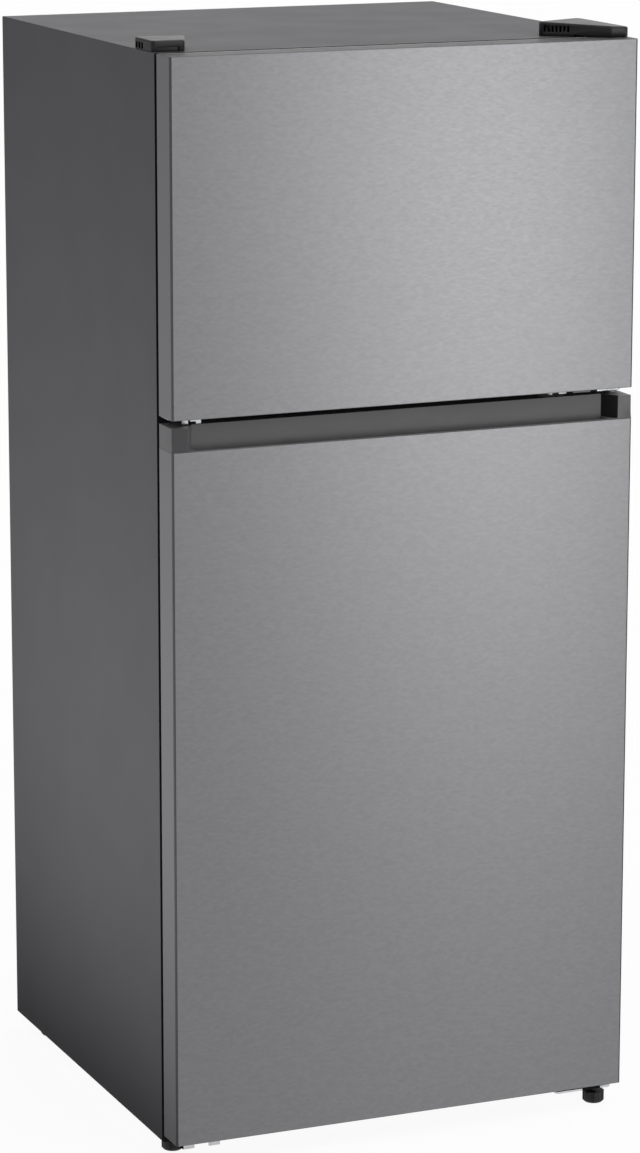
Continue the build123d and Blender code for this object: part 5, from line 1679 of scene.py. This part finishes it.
@dataclass
class MachineRoom(Assembly):
    """Compressor, condenser, fan, drain pan and the cover over them."""

    title: str = "machine room"

    def build(self) -> None:
        """Builds the machine room."""
        units = ("compressor", "compressor_grommets", "condenser_coil", "fan_motors", "refrigerant_lines")
        for node in units:
            self.dress(node)
        wheel = FanWheel("condenser_fan", Axis.X).build()
        self.keep(wheel, Body.CONDENSER_FAN, "black_plastic", "condenser_fan")
        self.soften_all(drain_pan=0.8, rear_cover=0.3, cord_gland=0.6)


@dataclass
class RunningGear(Assembly):
    """Levelling feet in front and rollers behind.

    Attributes:
        tread: (radius, distance from the middle) round half of a roller's section.
        spokes: ribs between a roller's hub and rim.
        spoke_width: their width.
        spoke_inset: how far they end inside the roller's faces.
        spoke_overlap: how far they reach into hub and rim.
        steps: faces round a roller.
    """

    title: str = "running gear"
    tread: Profile = (
        *((4.3, 9.0), (7.0, 9.0), (7.6, 6.6), (14.0, 6.6), (14.8, 9.0), (20.6, 9.0)),
        *((22.0, 7.6), (22.0, 5.2), (21.0, 4.4), (22.0, 3.6), (22.0, 0.9), (21.0, 0.0)),
    )
    spokes: int = 6
    spoke_width: float = 2.4 * MM
    spoke_inset: float = 0.8 * MM
    spoke_overlap: float = 0.2 * MM
    steps: int = 48

    def roller(self, node: str) -> None:
        """Builds one roller: grooved tread, hub and spokes.

        Args:
            node: the roller's CAD node.
        """
        low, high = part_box(node)
        centre = (low + high) / 2
        half = [(radius * MM, along * MM) for radius, along in self.tread]
        section = half + [(radius, -along) for radius, along in reversed(half[:-1])]
        wheel = lathe(f"{node}_wheel", section, self.steps, Axis.X, tuple(centre), bored=True)
        hub, rim = half[1][0], half[4][0]
        inner, outer = hub - self.spoke_overlap, rim + self.spoke_overlap
        reach = half[0][1] - self.spoke_inset
        lower = (centre.x - reach, centre.y - self.spoke_width / 2, centre.z + inner)
        upper = (centre.x + reach, centre.y + self.spoke_width / 2, centre.z + outer)
        spoke = bar("spokes", lower, upper, 0.3 * MM)
        RING.apply(spoke, Count=self.spokes, Axis=Axis.X.value, Centre=tuple(centre))
        self.keep(joined(f"{node}_finished", (wheel, spoke)), BODIES[node], "black_plastic", node)

    def build(self) -> None:
        """Builds feet and rollers."""
        self.soften_all(left_foot=0.6, right_foot=0.6)
        for node in ("left_roller", "right_roller"):
            self.roller(node)
        self.soften_all(roller_brackets=0.4)


# Studio


def seen_directly(graph: Graph) -> Socket:
    """Adds nodes that tell what the camera, metal and glass see from what lights the scene.

    Args:
        graph: the node tree.

    Returns:
        1 for camera, glossy and transmission rays, and 0 for the others.
    """
    path = graph.add("ShaderNodeLightPath", {}).outputs
    seen = path["Is Camera Ray"]
    for ray in ("Is Glossy Ray", "Is Transmission Ray"):
        seen = graph.add("ShaderNodeMath", {0: seen, 1: path[ray]}, operation="MAXIMUM").outputs["Value"]
    return seen


@dataclass
class Softbox:
    """A soft lamp.

    Attributes:
        name: the lamp's name.
        place: where it hangs.
        aim: the point that it faces.
        width: its width.
        height: its height.
        power: its power in watts.
        mirrored: whether metal and plastic show it as a highlight.
    """

    name: str
    place: Point
    aim: Point
    width: float
    height: float
    power: float
    mirrored: bool = True

    def build(self) -> None:
        """Hangs the lamp."""
        lamp = bpy.data.lights.new(self.name, "AREA")
        lamp.shape = "RECTANGLE"
        lamp.size = self.width
        lamp.size_y = self.height
        lamp.energy = self.power
        holder = placed(self.name, lamp)
        holder.visible_camera = False
        holder.visible_glossy = self.mirrored
        holder.visible_transmission = False
        holder.location = self.place
        look = Vector(self.aim) - Vector(self.place)
        holder.rotation_euler = look.to_track_quat("-Z", "Y").to_euler()


@dataclass
class Studio:
    """Pale floor, soft light and the camera at the photograph's view.

    Attributes:
        image: the picture's size.
        principal: where the optical axis meets the picture.
        focal: focal length in pixels.
        place: the camera's place.
        pitch: its pitch from straight down, in degrees.
        yaw: its turn about Z, in degrees.
        floor_size: half the floor's side.
        floor_shade: the floor's grey in the light that it throws back, and as the camera sees it.
        floor_glow: share of plain white in what the camera sees of the floor.
        dome: strength of the light from all round.
        sun: strength of the soft overhead light.
        sun_spread: angle that it comes from, in degrees.
        sun_way: the way that it shines.
        sensor: width of the camera's sensor in millimetres.
        sight: how far the camera sees.
    """

    image: tuple[int, int] = (640, 1153)
    principal: Span = (296.65, 571.30)
    focal: float = 4154.165
    place: Point = (-2.5067, -5.9140, 2.2436)
    pitch: float = 77.509
    yaw: float = -22.775
    floor_size: float = 60.0
    floor_shade: Span = (0.25, 0.93)
    floor_glow: float = 0.93
    dome: float = 0.60
    sun: float = 1.0
    sun_spread: float = 70.0
    sun_way: Point = (-0.35, 0.45, -1.0)
    sensor: float = 36.0
    sight: float = 200.0

    def build(self) -> None:
        """Builds floor, light and camera."""
        bpy.context.scene.view_settings.view_transform = "Standard"
        self.floor()
        self.sky()
        self.overhead()
        for box in self.softboxes():
            box.build()
        self.camera()

    def floor(self) -> None:
        """Lays the floor."""
        shape = bmesh.new()
        half = self.floor_size
        corners = ((-half, -half), (half, -half), (half, half), (-half, half))
        shape.faces.new([shape.verts.new((x, y, 0)) for x, y in corners])
        floor = made_object("floor", shape)
        surface = Surface("floor_white", {"Roughness": 0.9, "Specular IOR Level": 0.1})
        seen = seen_directly(surface)
        surface.feed("Base Color", surface.spread(seen, self.floor_shade, (0.0, 1.0)))
        inputs = {
            "Fac": surface.spread(seen, (0.0, self.floor_glow), (0.0, 1.0)),
            1: surface.shader.outputs["BSDF"],
            2: surface.add("ShaderNodeEmission", {}).outputs["Emission"],
        }
        mix = surface.add("ShaderNodeMixShader", inputs).outputs["Shader"]
        surface.put(surface.tree.nodes["Material Output"].inputs["Surface"], mix)
        floor.data.materials.append(surface.material)

    def sky(self) -> None:
        """Lights the scene from all round, and shows white to the camera, metal and glass."""
        world = bpy.data.worlds.new("studio")
        bpy.context.scene.world = world
        world.use_nodes = True
        sky = Graph(world.node_tree)
        background = sky.tree.nodes["Background"].inputs
        sky.put(background["Color"], (1.0, 1.0, 1.0, 1.0))
        inputs = {"Value": seen_directly(sky), "To Min": self.dome, "To Max": 1.0}
        sky.put(background["Strength"], sky.add("ShaderNodeMapRange", inputs).outputs["Result"])

    def overhead(self) -> None:
        """Adds one wide soft light from above, in front and to the right."""
        lamp = bpy.data.lights.new("overhead", "SUN")
        lamp.energy = self.sun
        lamp.angle = math.radians(self.sun_spread)
        holder = placed("overhead", lamp)
        holder.rotation_euler = Vector(self.sun_way).to_track_quat("-Z", "Y").to_euler()

    def softboxes(self) -> Iterable[Softbox]:
        """The lamps that shape the steel and the side.

        Returns:
            A bank in front, stronger to the right, and a low fill that faces up beside the case.
        """
        bank = ((1.2, 0.3, 1.5), (1.52, 0.34, 8.0), (1.95, 0.5, 21.0))
        for k, (x, width, power) in enumerate(bank):
            yield Softbox(f"front_strip_{k}", (x, -3.95, 1.10), (x, -0.37, 1.10), width, 1.70, power)
        yield Softbox("left_fill", (-1.38, -0.1, 0.05), (-1.37, -0.1, 1.0), 1.2, 0.5, 30.0, False)

    def camera(self) -> None:
        """Sets the camera as it was fitted to the photograph."""
        lens = bpy.data.cameras.new("camera")
        long_side = max(self.image)
        lens.sensor_width = self.sensor
        lens.lens = self.focal * self.sensor / long_side
        lens.shift_x = (self.image[0] / 2 - self.principal[0]) / long_side
        lens.shift_y = (self.principal[1] - self.image[1] / 2) / long_side
        lens.clip_end = self.sight
        holder = placed("camera", lens)
        holder.location = self.place
        holder.rotation_euler = (math.radians(self.pitch), 0.0, math.radians(self.yaw))
        bpy.context.scene.camera = holder


def main() -> None:
    """Builds the studio and the refrigerator."""
    logging.basicConfig(level=logging.INFO, format="%(name)s: %(message)s")
    Studio().build()
    assemblies: tuple[Assembly, ...] = (
        Case(),
        Hinges(),
        Door(title="freezer door", which=Compartment.FREEZER),
        Door(title="fridge door", which=Compartment.FRIDGE),
        FreshFood(),
        Freezer(),
        MachineRoom(),
        RunningGear(),
    )
    for assembly in assemblies:
        assembly.build()
        LOG.info("%s: %d pieces", assembly.title, len(assembly.pieces))


if __name__ == "__main__":
    main()
